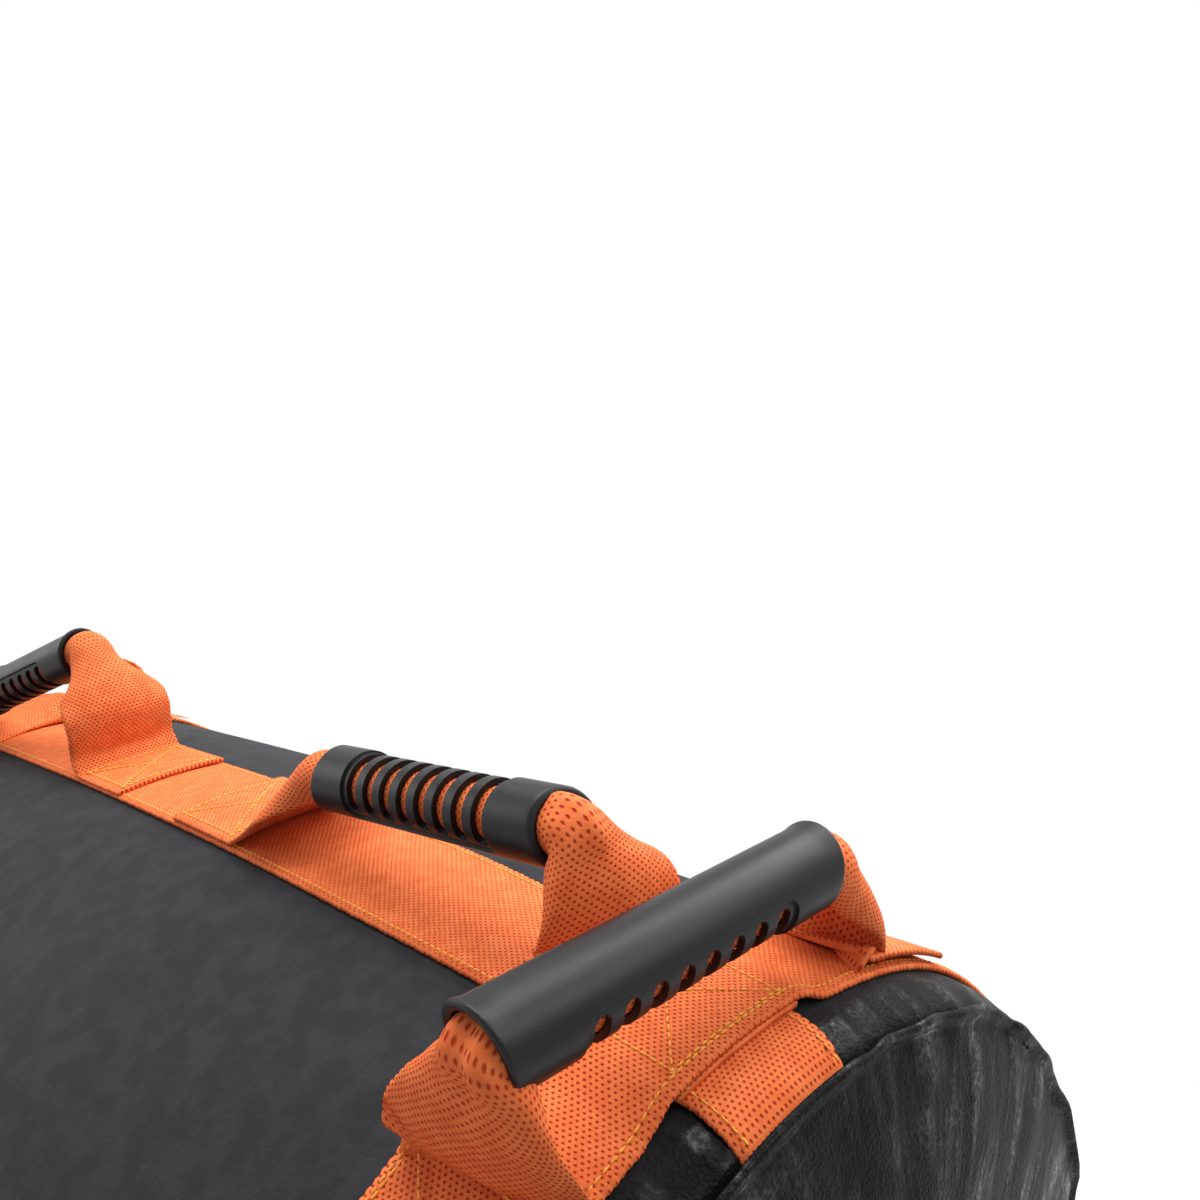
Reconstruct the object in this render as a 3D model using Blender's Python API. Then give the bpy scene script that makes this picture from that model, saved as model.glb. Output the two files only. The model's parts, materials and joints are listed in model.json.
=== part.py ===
"""Sandbag trainer: a sewn leather-like bag with webbing straps, four grip handles and a zip."""
import math

import bmesh
import bpy
import numpy as np
from mathutils import Matrix, Vector

for old in list(bpy.data.objects):
    bpy.data.objects.remove(old, do_unlink=True)

# Driving dimensions of the bag, in metres
BODY_WIDTH = 0.330
CROWN_HEIGHT = 0.148
BELLY_HEIGHT = 0.118
REST_WIDTH = 0.150
CROWN_DROP = 0.017
SHELL_WALL = 0.0015
END_BAND = 0.016
SEAM_TUCK = 0.006
CAP_DEPTH = 0.020

# Webbing and its handles
WEB_WIDTH = 0.050
WEB_THICKNESS = 0.002
HANDLE_SPACING = 0.276
HANDLE_SPAN = 0.128
CROSS_CLEARANCE = 0.008
PATCH_LENGTH = 0.047
HINGE_HEIGHT = 0.0155
NECK_WIDTH = 0.015
NECK_THICKNESS = 0.0080
LEG_WIDTH = 0.024
LEG_THICKNESS = 0.0065
STRAP_RAMP = 0.018

# Moulded grips
GRIP_LENGTH = 0.120
GRIP_RADIUS = 0.0107
COLLAR_RADIUS = 0.0115
COLLAR_LENGTH = 0.024
COLLAR_STEP = 0.0020
RIM_ROUND = 0.0015
BORE_RADIUS = 0.0086
SLOT_COUNT = 8
SLOT_WIDTH = 0.0052
RIB_WIDTH = 0.0038
SLOT_FLOOR = 0.0015

# Filling zip on the back
ZIP_PLACE = 0.222
ZIP_LENGTH = 0.400
ZIP_OPENING = 0.020
TAPE_WIDTH = 0.016
TAPE_THICKNESS = 0.0008
TAPE_SEWN = 0.012
TOOTH_PITCH = 0.0080
TOOTH_LENGTH = 0.0045
TOOTH_DEPTH = 0.0022
TEETH_GAP = 0.0012
SLIDER_LENGTH = 0.020
SLIDER_WIDTH = 0.011
SLIDER_PLATE = 0.0014
SLIDER_WEB = 0.0006
BRIDGE_LENGTH = 0.012
BRIDGE_WIDTH = 0.0024
BRIDGE_HEIGHT = 0.0044
BRIDGE_BAR = 0.0014
PULL_BAR = 0.0016
PULL_LENGTH = 0.028
PULL_WIDTH = 0.0090
STOP_LENGTH = 0.0040
STOP_WIDTH = 0.0080
STOP_HEIGHT = 0.0014

# Sand fillers
FILLER_LENGTH = 0.255
FILLER_CLOTH = 0.0010
FILLER_SLACK = 0.016
FILLER_ROUND = 0.050
FILLER_PARTING = 0.010
FLAP_THICKNESS = 0.0020
FLAP_HEIGHT = 0.120

# Clearances and the fineness of the surfaces
GAP = 0.0003
INNER_GAP = 0.0006
OVERRUN = 0.004
AROUND_STEP = 0.0155
CAP_STEP = 0.0233
FILLER_STEP = 0.031
LENGTH_STEP = 0.049
RAMP_STEP = 0.006
SECTION_SAMPLES = 240
DOME_ROWS = 5
DOME_POWER = 1.5
ROUND_POWER = 2.3
CROWN_POWER = 3
FILLER_ROWS = 4
TURNED_SIDES = 16
BUNDLE_SIDES = 10
LEG_ROWS = 9
FOLD_ROWS = 6
BAND_ROUNDNESS = 0.6
SHARP_ANGLE = 40.0
COUNT_TOLERANCE = 0.001

# The cross strap's middle lies a grip's length and a clearance out from the middle of the handle
# beside it, so that this handle's webbing, lying outwards, stays clear of the handle across its end
CROSS_SPACING = HANDLE_SPACING + 2 * (GRIP_LENGTH + CROSS_CLEARANCE)
CROSS_X = CROSS_SPACING / 2
CROSS_OUTER_X = CROSS_X + WEB_WIDTH / 2
SEAM_X = CROSS_OUTER_X + END_BAND
LAYER = WEB_THICKNESS + GAP
AXIS_Z = BELLY_HEIGHT + LAYER
HALF_SPAN = HANDLE_SPAN / 2
PULL_EYE = math.hypot(BRIDGE_LENGTH / 2, BRIDGE_HEIGHT) + INNER_GAP

# Colours are linear; each finish is colour, roughness and metallic
FINISHES = {
    "leather": ((0.020, 0.021, 0.023, 1.0), 0.55, 0.0),
    "webbing": ((0.87, 0.16, 0.035, 1.0), 0.85, 0.0),
    "moulded": ((0.018, 0.018, 0.019, 1.0), 0.42, 0.0),
    "zip_tape": ((0.020, 0.020, 0.022, 1.0), 0.90, 0.0),
    "zip_metal": ((0.42, 0.42, 0.43, 1.0), 0.35, 1.0),
    "filler": ((0.10, 0.10, 0.11, 1.0), 0.90, 0.0),
    "sand": ((0.55, 0.40, 0.24, 1.0), 0.95, 0.0),
}


def finish(name, kind):
    """Each sub-part has a material of its own."""
    colour, roughness, metallic = FINISHES[kind]
    material = bpy.data.materials.new(name + "_" + kind)
    material.use_nodes = True
    shader = material.node_tree.nodes["Principled BSDF"]
    shader.inputs["Base Color"].default_value = colour
    shader.inputs["Roughness"].default_value = roughness
    shader.inputs["Metallic"].default_value = metallic
    return material


def add_piece(name, shape, kind, place=None):
    """Turn a bmesh, or a mesh that copies share, into a named object with its own material."""
    if isinstance(shape, bmesh.types.BMesh):
        mesh = bpy.data.meshes.new(name)
        bmesh.ops.recalc_face_normals(shape, faces=shape.faces)
        shape.to_mesh(mesh)
        shape.free()
        mesh.shade_smooth()
        mesh.set_sharp_from_angle(angle=math.radians(SHARP_ANGLE))
    else:
        mesh = shape.copy()
        mesh.name = name
    mesh.materials.clear()
    mesh.materials.append(finish(name, kind))
    piece = bpy.data.objects.new(name, mesh)
    piece.matrix_world = place or Matrix.Identity(4)
    bpy.context.scene.collection.objects.link(piece)
    return piece


def smooth_step(share):
    share = min(max(share, 0.0), 1.0)
    return share * share * (3.0 - 2.0 * share)


def spread(start, stop, step):
    """Even stations from start to stop, no further apart than the step."""
    count = max(1, math.ceil(abs(stop - start) / step - COUNT_TOLERANCE))
    return [start + (stop - start) * index / count for index in range(count + 1)]


# The bag's section: a half ellipse over the widest line, rounded corners under it, a flat to rest on
def trace_section():
    """Half of the section from the crest to the middle of the flat, with its outward normals."""
    half_width = BODY_WIDTH / 2
    half_rest = REST_WIDTH / 2
    corner = half_width - half_rest
    angles = np.linspace(0.0, math.pi / 2, SECTION_SAMPLES)
    crown_y = half_width * np.sin(angles)
    crown_z = CROWN_HEIGHT * np.cos(angles)
    crown_ny = CROWN_HEIGHT * np.sin(angles)
    crown_nz = half_width * np.cos(angles)
    belly_y = half_rest + corner * np.cos(angles)
    belly_z = -BELLY_HEIGHT * np.sin(angles)
    belly_ny = BELLY_HEIGHT * np.cos(angles)
    belly_nz = -corner * np.sin(angles)
    y = np.concatenate([crown_y, belly_y[1:], [0.0]])
    z = np.concatenate([crown_z, belly_z[1:], [-BELLY_HEIGHT]])
    ny = np.concatenate([crown_ny, belly_ny[1:], [0.0]])
    nz = np.concatenate([crown_nz, belly_nz[1:], [-corner]])
    size = np.hypot(ny, nz)
    run = np.concatenate([[0.0], np.cumsum(np.hypot(np.diff(y), np.diff(z)))])
    return run, y, z, ny / size, nz / size


RUN, OUT_Y, OUT_Z, OUT_NY, OUT_NZ = trace_section()
HALF_GIRTH = float(RUN[-1])


def section_at(run):
    """Point and normal at a length of run from the crest, positive towards the back."""
    side = -1.0 if run < 0 else 1.0
    length = abs(run)
    y, z, ny, nz = (float(np.interp(length, RUN, row)) for row in (OUT_Y, OUT_Z, OUT_NY, OUT_NZ))
    return side * y, z, side * ny, nz


def sink_at(x, z):
    """How far the skin lies inside the plain section: the crown's arch, and the tuck at the seam."""
    crown = CROWN_DROP * abs(x / SEAM_X) ** CROWN_POWER * (max(z, 0.0) / CROWN_HEIGHT) ** 2
    band = min(max((abs(x) - CROSS_OUTER_X) / END_BAND, 0.0), 1.0)
    return crown + SEAM_TUCK * band * band


def skin_point(x, run, lift=0.0):
    """A point on the bag's skin, lifted off it along the normal."""
    y, z, ny, nz = section_at(run)
    away = lift - sink_at(x, z)
    return Vector((x, y + ny * away, AXIS_Z + z + nz * away))


def thick_sheet(shape, xs, runs, low, high, around=False, keep=None):
    """A sheet that follows the skin between two lifts; keep tells which cells it has."""
    low_lift = low if callable(low) else (lambda x, run: low)
    high_lift = high if callable(high) else (lambda x, run: high)
    rows = len(xs)
    columns = len(runs)
    cells = columns if around else columns - 1
    kept = {
        (i, j) for i in range(rows - 1) for j in range(cells)
        if keep is None or keep((xs[i] + xs[i + 1]) / 2, (runs[j] + runs[(j + 1) % columns]) / 2)
    }
    corners = {}

    def corner(i, j, top):
        key = (i, j % columns, top)
        if key not in corners:
            x, run = xs[i], runs[j % columns]
            lift = (high_lift if top else low_lift)(x, run)
            corners[key] = shape.verts.new(skin_point(x, run, lift))
        return corners[key]

    for i, j in kept:
        loop = [(i, j), (i + 1, j), (i + 1, j + 1), (i, j + 1)]
        shape.faces.new([corner(a, b, True) for a, b in loop])
        shape.faces.new([corner(a, b, False) for a, b in reversed(loop)])
        beside = [(i, j - 1), (i + 1, j), (i, j + 1), (i - 1, j)]
        for index, (row, column) in enumerate(beside):
            if around:
                column %= columns
            if (row, column) in kept:
                continue
            first = loop[index]
            second = loop[(index + 1) % 4]
            shape.faces.new([corner(*second, True), corner(*first, True),
                             corner(*first, False), corner(*second, False)])


def loft(shape, rings, closed_ends=True):
    """Skin a list of rings that have as many points each, and close the two ends."""
    rows = [[shape.verts.new(point) for point in ring] for ring in rings]
    sides = len(rows[0])
    for first, second in zip(rows, rows[1:]):
        for index in range(sides):
            after = (index + 1) % sides
            shape.faces.new([first[index], first[after], second[after], second[index]])
    if closed_ends:
        shape.faces.new(list(reversed(rows[0])))
        shape.faces.new(rows[-1])


def block(shape, size, centre, frame=None):
    """A box of the given size at a centre, in a frame."""
    turn = (frame or Matrix.Identity(4)) @ Matrix.Translation(centre) @ Matrix.Diagonal((*size, 1.0))
    bmesh.ops.create_cube(shape, size=1.0, matrix=turn)


def united(name, shapes):
    """Join overlapping bmesh bodies into one solid with an exact union."""
    objects = []
    for index, shape in enumerate(shapes):
        mesh = bpy.data.meshes.new(f"{name}_{index}")
        bmesh.ops.recalc_face_normals(shape, faces=shape.faces)
        shape.to_mesh(mesh)
        shape.free()
        piece = bpy.data.objects.new(f"{name}_{index}", mesh)
        bpy.context.scene.collection.objects.link(piece)
        objects.append(piece)
    for other in objects[1:]:
        join = objects[0].modifiers.new("join", "BOOLEAN")
        join.operation = "UNION"
        join.solver = "EXACT"
        join.object = other
    return bake(objects)


def bake(objects):
    """The first object's mesh with its modifiers applied; the helpers are removed."""
    bpy.context.view_layer.update()
    graph = bpy.context.evaluated_depsgraph_get()
    mesh = bpy.data.meshes.new_from_object(objects[0].evaluated_get(graph))
    for piece in objects:
        bpy.data.objects.remove(piece, do_unlink=True)
    mesh.shade_smooth()
    mesh.set_sharp_from_angle(angle=math.radians(SHARP_ANGLE))
    return mesh


# Main tube, open at both ends, with the zip's opening in its back
def girth_runs(step):
    """Stations once round the girth, from the middle of the flat over the front, crest and back."""
    count = 2 * math.ceil(HALF_GIRTH / step)
    return [-HALF_GIRTH + 2 * HALF_GIRTH * index / count for index in range(count)]


def with_stations(values, extra):
    """Put the extra stations in, in place of the even ones that lie too near them."""
    space = min(b - a for a, b in zip(values, values[1:])) / 2
    kept = [value for value in values if all(abs(value - place) > space for place in extra)]
    return sorted(kept + list(extra))


def length_stations():
    """Stations along the tube from seam to seam, with one at each end of the zip's opening."""
    body = spread(-CROSS_OUTER_X, CROSS_OUTER_X, LENGTH_STEP)
    xs = with_stations(body, [-ZIP_LENGTH / 2, ZIP_LENGTH / 2])
    band = spread(CROSS_OUTER_X, SEAM_X, END_BAND / 2)[1:]
    return [-x for x in reversed(band)] + xs + band


def make_shell_tube():
    xs = length_stations()
    half_zip = ZIP_LENGTH / 2
    zip_edges = [ZIP_PLACE - ZIP_OPENING / 2, ZIP_PLACE + ZIP_OPENING / 2]
    runs = with_stations(girth_runs(AROUND_STEP), zip_edges)
    runs = [run for run in runs if not zip_edges[0] < run < zip_edges[1]]
    shape = bmesh.new()
    thick_sheet(shape, xs, runs, -SHELL_WALL, 0.0, around=True,
                keep=lambda x, run: not (abs(x) < half_zip and zip_edges[0] < run < zip_edges[1]))
    add_piece("shell_tube", shape, "leather")


# Domed end caps, sewn to the tube at the sunk seam
def cap_rings(rim_lift, depth, count):
    """Rings of a dome over the seam's outline, from the rim towards the pole."""
    rim = [skin_point(SEAM_X, run, rim_lift) for run in girth_runs(CAP_STEP)]
    middle = Vector((0.0, 0.0, AXIS_Z))
    rings = []
    for row in range(count):
        angle = math.pi / 2 * row / count
        inward = math.cos(angle) ** (2 / DOME_POWER)
        forward = math.sin(angle) ** (2 / DOME_POWER)
        x = SEAM_X + GAP + depth * forward
        rings.append([Vector((x, point.y * inward, middle.z + (point.z - middle.z) * inward))
                      for point in rim])
    pole = Vector((SEAM_X + GAP + depth, 0.0, middle.z))
    return rings, pole


def make_end_cap(name, side):
    shape = bmesh.new()
    outer, outer_pole = cap_rings(0.0, CAP_DEPTH, DOME_ROWS)
    inner, inner_pole = cap_rings(-SHELL_WALL, CAP_DEPTH - SHELL_WALL, DOME_ROWS)
    loft(shape, list(reversed(inner)) + outer, closed_ends=False)
    shape.verts.ensure_lookup_table()
    sides = len(outer[0])
    for first, pole in ((0, inner_pole), (len(shape.verts) - sides, outer_pole)):
        top = shape.verts.new(pole)
        shape.verts.ensure_lookup_table()
        for index in range(sides):
            shape.faces.new([shape.verts[first + index], shape.verts[first + (index + 1) % sides], top])
    if side < 0:
        bmesh.ops.scale(shape, vec=(-1.0, 1.0, 1.0), verts=shape.verts)
    add_piece(name, shape, "leather")


# Long strap on the crest, and the two cross straps over it
def crossing_rise(x, run):
    """The cross strap climbs over the long strap and the handle foot sewn on it."""
    past = (abs(run) - WEB_WIDTH / 2 - INNER_GAP) / STRAP_RAMP
    return GAP + 2 * LAYER * (1.0 - smooth_step(past))


def make_long_strap():
    shape = bmesh.new()
    runs = spread(-WEB_WIDTH / 2, WEB_WIDTH / 2, WEB_WIDTH / 4)
    thick_sheet(shape, length_stations(), runs, GAP, LAYER)
    add_piece("long_strap", shape, "webbing")


def make_cross_strap(name, side):
    shape = bmesh.new()
    flat_half = WEB_WIDTH / 2 + INNER_GAP
    ramp = spread(flat_half, flat_half + STRAP_RAMP, RAMP_STEP)
    top = spread(0.0, flat_half, WEB_WIDTH / 4)[:-1]
    rest = spread(flat_half + STRAP_RAMP, HALF_GIRTH, AROUND_STEP)[1:]
    half = top + ramp + rest
    runs = [-run for run in reversed(half[1:])] + half[:-1]
    xs = [side * CROSS_X + offset for offset in spread(-WEB_WIDTH / 2, WEB_WIDTH / 2, WEB_WIDTH / 2)]
    thick_sheet(shape, xs, runs, crossing_rise, lambda x, run: crossing_rise(x, run) + WEB_THICKNESS,
                around=True)
    add_piece(name, shape, "webbing")


# Handles. Every share is one of the grip's length. The grip's centre lies off the swing axis by three
# shares: along the handle, sideways and up. A leg leaves its fold outwards by the first share and
# upwards by the second, and enters the grip straight over the third.
CENTRE_SHARES = {
    "handle_1": (-0.192, -0.100, 0.149),
    "handle_2": (0.371, -0.044, 0.141),
    "handle_3": (-0.133, 0.149, 0.204),
    "handle_4": (-0.080, -0.405, 0.070),
}
NEAR_LEG_SHARES = {
    "handle_1": (0.16, -0.03, 0.30),
    "handle_2": (0.18, 0.18, 0.16),
    "handle_3": (0.14, 0.04, 0.16),
    "handle_4": (0.18, 0.02, 0.20),
}
FAR_LEG_SHARES = {
    "handle_1": (0.17, 0.02, 0.24),
    "handle_2": (0.36, -0.02, 0.42),
    "handle_3": (0.14, 0.00, 0.26),
    "handle_4": (0.18, 0.02, 0.20),
}

# Degrees: tilt lifts the grip's far end, yaw turns it sideways, and its turn on the webbing is
# counted from the finger side down, towards the back on handles 1 and 2
GRIP_ANGLES = {
    "handle_1": {"tilt": 17.0, "yaw": 12.0, "turn": -10.0},
    "handle_2": {"tilt": 2.9, "yaw": 0.7, "turn": -145.0},
    "handle_3": {"tilt": -2.2, "yaw": 2.4, "turn": 0.0},
    "handle_4": {"tilt": 1.5, "yaw": 1.0, "turn": 60.0},
}


def handle_places():
    """Name, the strap that carries it, the x of its centre, for each handle."""
    return [
        ("handle_1", "long", -HANDLE_SPACING / 2),
        ("handle_2", "long", HANDLE_SPACING / 2),
        ("handle_3", "cross", CROSS_X),
        ("handle_4", "cross", -CROSS_X),
    ]


def swing_frame(carrier, centre_x):
    """Frame on the swing axis: first axis along the handle, second sideways, third up."""
    if carrier == "long":
        fold_z = max(skin_point(centre_x + side * HALF_SPAN, 0.0).z for side in (-1, 1))
        along, sideways = Vector((1.0, 0.0, 0.0)), Vector((0.0, 1.0, 0.0))
    else:
        fold_z = skin_point(centre_x, fold_run()).z
        along, sideways = Vector((0.0, 1.0, 0.0)), Vector((1.0, 0.0, 0.0))
    height = fold_z + LAYER + HINGE_HEIGHT
    return Vector((centre_x, 0.0, height)), along, sideways


def fold_run():
    """Run along the girth at which the skin lies half a handle span from the middle."""
    return float(np.interp(HALF_SPAN, OUT_Y[:SECTION_SAMPLES], RUN[:SECTION_SAMPLES]))


def in_frame(frame, along, side, up):
    origin, first, second = frame
    return origin + first * along + second * side + Vector((0.0, 0.0, up))


def bezier(points, share):
    """Point and direction on a cubic curve."""
    a, b, c, d = points
    back = 1.0 - share
    place = a * back ** 3 + b * 3 * back * back * share + c * 3 * back * share * share + d * share ** 3
    way = (b - a) * back * back + (c - b) * 2 * back * share + (d - c) * share * share
    return place, way.normalized()


def make_foot(name, carrier, centre_x, side, frame):
    """Flat sewn patch, then the fold that turns the webbing up to the swing axis."""
    across = spread(-WEB_WIDTH / 2, WEB_WIDTH / 2, WEB_WIDTH / 4)
    low, high = LAYER + GAP, 2 * LAYER
    if carrier == "long":
        fold_x = centre_x + side * HALF_SPAN
        under_cross = side * centre_x > 0
        end_x = math.copysign(CROSS_OUTER_X, side) if under_cross else fold_x + side * PATCH_LENGTH
        stations = spread(end_x, fold_x, PATCH_LENGTH / 2)

        def at(place, wide, lift):
            return skin_point(place, wide, lift)
    else:
        fold_place = side * fold_run()
        stations = spread(fold_place + side * PATCH_LENGTH, fold_place, PATCH_LENGTH / 4)

        def at(place, wide, lift):
            return skin_point(centre_x + wide, place, lift)
    sections = []
    for place in stations:
        top = [at(place, wide, high) for wide in across]
        under = [at(place, wide, low) for wide in across]
        sections.append(top + list(reversed(under)))
    start = (at(stations[-1], 0.0, low) + at(stations[-1], 0.0, high)) / 2
    before = (at(stations[-2], 0.0, low) + at(stations[-2], 0.0, high)) / 2
    finish_point = in_frame(frame, side * HALF_SPAN, 0.0, 0.0)
    outward = frame[1] * side
    reach = (finish_point - start).length * 2 / 3
    curve = (start, start + (start - before).normalized() * reach,
             finish_point - outward * reach, finish_point)
    droop = [at(stations[-1], wide, low) - at(stations[-1], 0.0, low) for wide in across]
    for row in range(1, FOLD_ROWS + 1):
        share = row / FOLD_ROWS
        centre, way = bezier(curve, share)
        normal = frame[2].cross(way)
        blend = smooth_step(share)
        width = WEB_WIDTH + (NECK_WIDTH - WEB_WIDTH) * blend
        thickness = WEB_THICKNESS + (NECK_THICKNESS - WEB_THICKNESS) * blend
        if normal.dot(centre - (start + finish_point) / 2) < 0:
            normal = -normal
        inner_side, outer_side = [], []
        for wide, sag in zip(across, droop):
            place = centre + frame[2] * (wide * width / WEB_WIDTH)
            place += Vector((0.0, 0.0, sag.z * (1.0 - blend)))
            inner_side.append(place - normal * thickness / 2)
            outer_side.append(place + normal * thickness / 2)
        sections.append(inner_side + list(reversed(outer_side)))
    shape = bmesh.new()
    loft(shape, sections)
    add_piece(name, shape, "webbing")


def grip_line(name):
    """Centre and direction of a grip in its handle's swing frame."""
    angles = GRIP_ANGLES[name]
    tilt, yaw = math.radians(angles["tilt"]), math.radians(angles["yaw"])
    centre = Vector(CENTRE_SHARES[name]) * GRIP_LENGTH
    way = Vector((math.cos(tilt) * math.cos(yaw), math.cos(tilt) * math.sin(yaw), math.sin(tilt)))
    return centre, way


def leg_curve(name, side):
    """The curve of one leg, from its fold to the grip's end, in the swing frame."""
    centre, way = grip_line(name)
    shares = NEAR_LEG_SHARES if side < 0 else FAR_LEG_SHARES
    out_of_fold, up_from_fold, out_of_grip = shares[name]
    fold = Vector((side * (HALF_SPAN + GAP), 0.0, 0.0))
    mouth = centre + way * side * GRIP_LENGTH / 2
    leave = Vector((side * out_of_fold, 0.0, up_from_fold))
    return (fold, fold + leave * GRIP_LENGTH,
            mouth + way * side * out_of_grip * GRIP_LENGTH, mouth)


def bundle_ring(centre, way, sideways, width, thickness, roundness):
    """Cross-section of the gathered webbing: an oval, squarer as roundness falls."""
    flat = (sideways - way * sideways.dot(way)).normalized()
    normal = way.cross(flat)
    ring = []
    for index in range(BUNDLE_SIDES):
        angle = 2 * math.pi * (index + 0.5) / BUNDLE_SIDES
        c, s = math.cos(angle), math.sin(angle)
        along = math.copysign(abs(c) ** roundness, c) * width / 2
        up = math.copysign(abs(s) ** roundness, s) * thickness / 2
        ring.append(centre + flat * along + normal * up)
    return ring


def make_loop(name, frame):
    """The moving webbing: leg, bundle inside the grip, leg, as one gathered band."""
    centre, way = grip_line(name)
    lean = Vector((0.0, centre.y, centre.z)).normalized()
    sideways = Vector((0.0, lean.z, -lean.y))
    bundle = 2 * (BORE_RADIUS - GAP) * math.cos(math.pi / TURNED_SIDES)

    def add_leg(side):
        curve = leg_curve(name, side)
        rows = []
        for row in range(LEG_ROWS + 1):
            share = row / LEG_ROWS
            point, heading = bezier(curve, share)
            middle = math.sin(math.pi * share) ** 2
            width = NECK_WIDTH + (bundle - NECK_WIDTH) * smooth_step(share * 2 - 1)
            thickness = NECK_THICKNESS + (bundle - NECK_THICKNESS) * smooth_step(share * 2 - 1)
            width += (LEG_WIDTH - width) * middle * smooth_step(share * 2)
            thickness += (LEG_THICKNESS - thickness) * middle * smooth_step(share * 2)
            roundness = BAND_ROUNDNESS + (1.0 - BAND_ROUNDNESS) * smooth_step(share * 2 - 1)
            if row == 0:
                heading = Vector((side, 0.0, 0.0))
            heading = heading * (-side)
            rows.append(bundle_ring(point, heading, sideways, width, thickness, roundness))
        return rows

    near = add_leg(-1)
    far = add_leg(1)
    rings = near + list(reversed(far))
    turned = []
    for ring in rings:
        turned.append([frame[1] * p.x + frame[2] * p.y + Vector((0.0, 0.0, p.z)) for p in ring])
    shape = bmesh.new()
    loft(shape, turned)
    add_piece(name + "_loop", shape, "webbing", Matrix.Translation(frame[0]))


def turned_body(profile, sides):
    """A ring-shaped solid turned about the X axis from a closed profile of x and radius."""
    shape = bmesh.new()
    rows = []
    for x, radius in profile:
        angles = [2 * math.pi * index / sides for index in range(sides)]
        rows.append([shape.verts.new((x, radius * math.cos(a), radius * math.sin(a))) for a in angles])
    for index in range(len(rows)):
        first, second = rows[index], rows[(index + 1) % len(rows)]
        for side in range(sides):
            after = (side + 1) % sides
            shape.faces.new([first[side], first[after], second[after], second[side]])
    return shape


def make_grip_mesh():
    """Tube with thicker collars; eight slots cut across its finger side, which faces down."""
    half = GRIP_LENGTH / 2
    step_x = half - COLLAR_LENGTH
    outer = [(half, COLLAR_RADIUS - RIM_ROUND), (half - RIM_ROUND, COLLAR_RADIUS),
             (step_x, COLLAR_RADIUS), (step_x - COLLAR_STEP, GRIP_RADIUS)]
    mirror = [(-x, radius) for x, radius in reversed(outer)]
    profile = outer + mirror + [(-half, BORE_RADIUS), (half, BORE_RADIUS)]
    body = turned_body(profile, TURNED_SIDES)
    cutters = bmesh.new()
    pitch = SLOT_WIDTH + RIB_WIDTH
    for index in range(SLOT_COUNT):
        x = (index - (SLOT_COUNT - 1) / 2) * pitch
        depth = COLLAR_RADIUS + OVERRUN - SLOT_FLOOR
        block(cutters, (SLOT_WIDTH, 2 * (COLLAR_RADIUS + OVERRUN), depth),
              Vector((x, 0.0, -SLOT_FLOOR - depth / 2)))
    objects = []
    for label, shape in (("grip_body", body), ("grip_slots", cutters)):
        mesh = bpy.data.meshes.new(label)
        bmesh.ops.recalc_face_normals(shape, faces=shape.faces)
        shape.to_mesh(mesh)
        shape.free()
        piece = bpy.data.objects.new(label, mesh)
        bpy.context.scene.collection.objects.link(piece)
        objects.append(piece)
    cut = objects[0].modifiers.new("slots", "BOOLEAN")
    cut.operation = "DIFFERENCE"
    cut.solver = "EXACT"
    cut.object = objects[1]
    return bake(objects)


def make_handles():
    grip_mesh = make_grip_mesh()
    for name, carrier, centre_x in handle_places():
        frame = swing_frame(carrier, centre_x)
        labels = ("left", "right") if carrier == "long" else ("front", "back")
        for side, label in zip((-1, 1), labels):
            make_foot(f"{name}_foot_{label}", carrier, centre_x, side, frame)
        make_loop(name, frame)
        centre, way = grip_line(name)
        along = frame[1] * way.x + frame[2] * way.y + Vector((0.0, 0.0, way.z))
        side_axis = Vector((0.0, 0.0, 1.0)).cross(along).normalized()
        up = along.cross(side_axis)
        turn = Matrix((along, side_axis, up)).transposed().to_4x4()
        roll = Matrix.Rotation(math.radians(GRIP_ANGLES[name]["turn"]), 4, "X")
        place = Matrix.Translation(in_frame(frame, *centre)) @ turn @ roll
        add_piece(name.replace("handle", "grip"), grip_mesh, "moulded", place)
    bpy.data.meshes.remove(grip_mesh)


# Zip: two toothed tapes under the edges of the opening, slider, pull and end stops
ZIP_LIFT = -SHELL_WALL - INNER_GAP - TAPE_THICKNESS


def make_zip_tape(name, side):
    """A tape whose free edge carries a row of square teeth."""
    half_tape = ZIP_LENGTH / 2 + TAPE_SEWN
    teeth_root = ZIP_PLACE + side * (TEETH_GAP / 2 + TOOTH_DEPTH)
    teeth_tip = ZIP_PLACE + side * TEETH_GAP / 2
    outer_edge = ZIP_PLACE + side * (TEETH_GAP / 2 + TOOTH_DEPTH + TAPE_WIDTH)
    count = int((ZIP_LENGTH - 2 * STOP_LENGTH) / TOOTH_PITCH)
    teeth = [(index - (count - 1) / 2) * TOOTH_PITCH for index in range(count)]
    xs = [-half_tape]
    for centre in teeth:
        xs += [centre - TOOTH_LENGTH / 2, centre + TOOTH_LENGTH / 2]
    xs.append(half_tape)
    runs = sorted([outer_edge, teeth_root, teeth_tip])

    def keep(x, run):
        on_tape = abs(run - ZIP_PLACE) > TEETH_GAP / 2 + TOOTH_DEPTH
        return on_tape or any(abs(x - centre) < GAP for centre in teeth)

    shape = bmesh.new()
    thick_sheet(shape, xs, runs, ZIP_LIFT, ZIP_LIFT + TAPE_THICKNESS, keep=keep)
    add_piece(name, shape, "zip_tape")


def zip_frame():
    """Frame at the middle of the teeth: X along the zip, Y up the skin, Z out of it."""
    _, _, ny, nz = section_at(ZIP_PLACE)
    normal = Vector((0.0, ny, nz))
    along = Vector((1.0, 0.0, 0.0))
    origin = skin_point(0.0, ZIP_PLACE, ZIP_LIFT + TAPE_THICKNESS / 2)
    turn = Matrix((along, normal.cross(along), normal)).transposed().to_4x4()
    return Matrix.Translation(origin) @ turn


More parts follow.
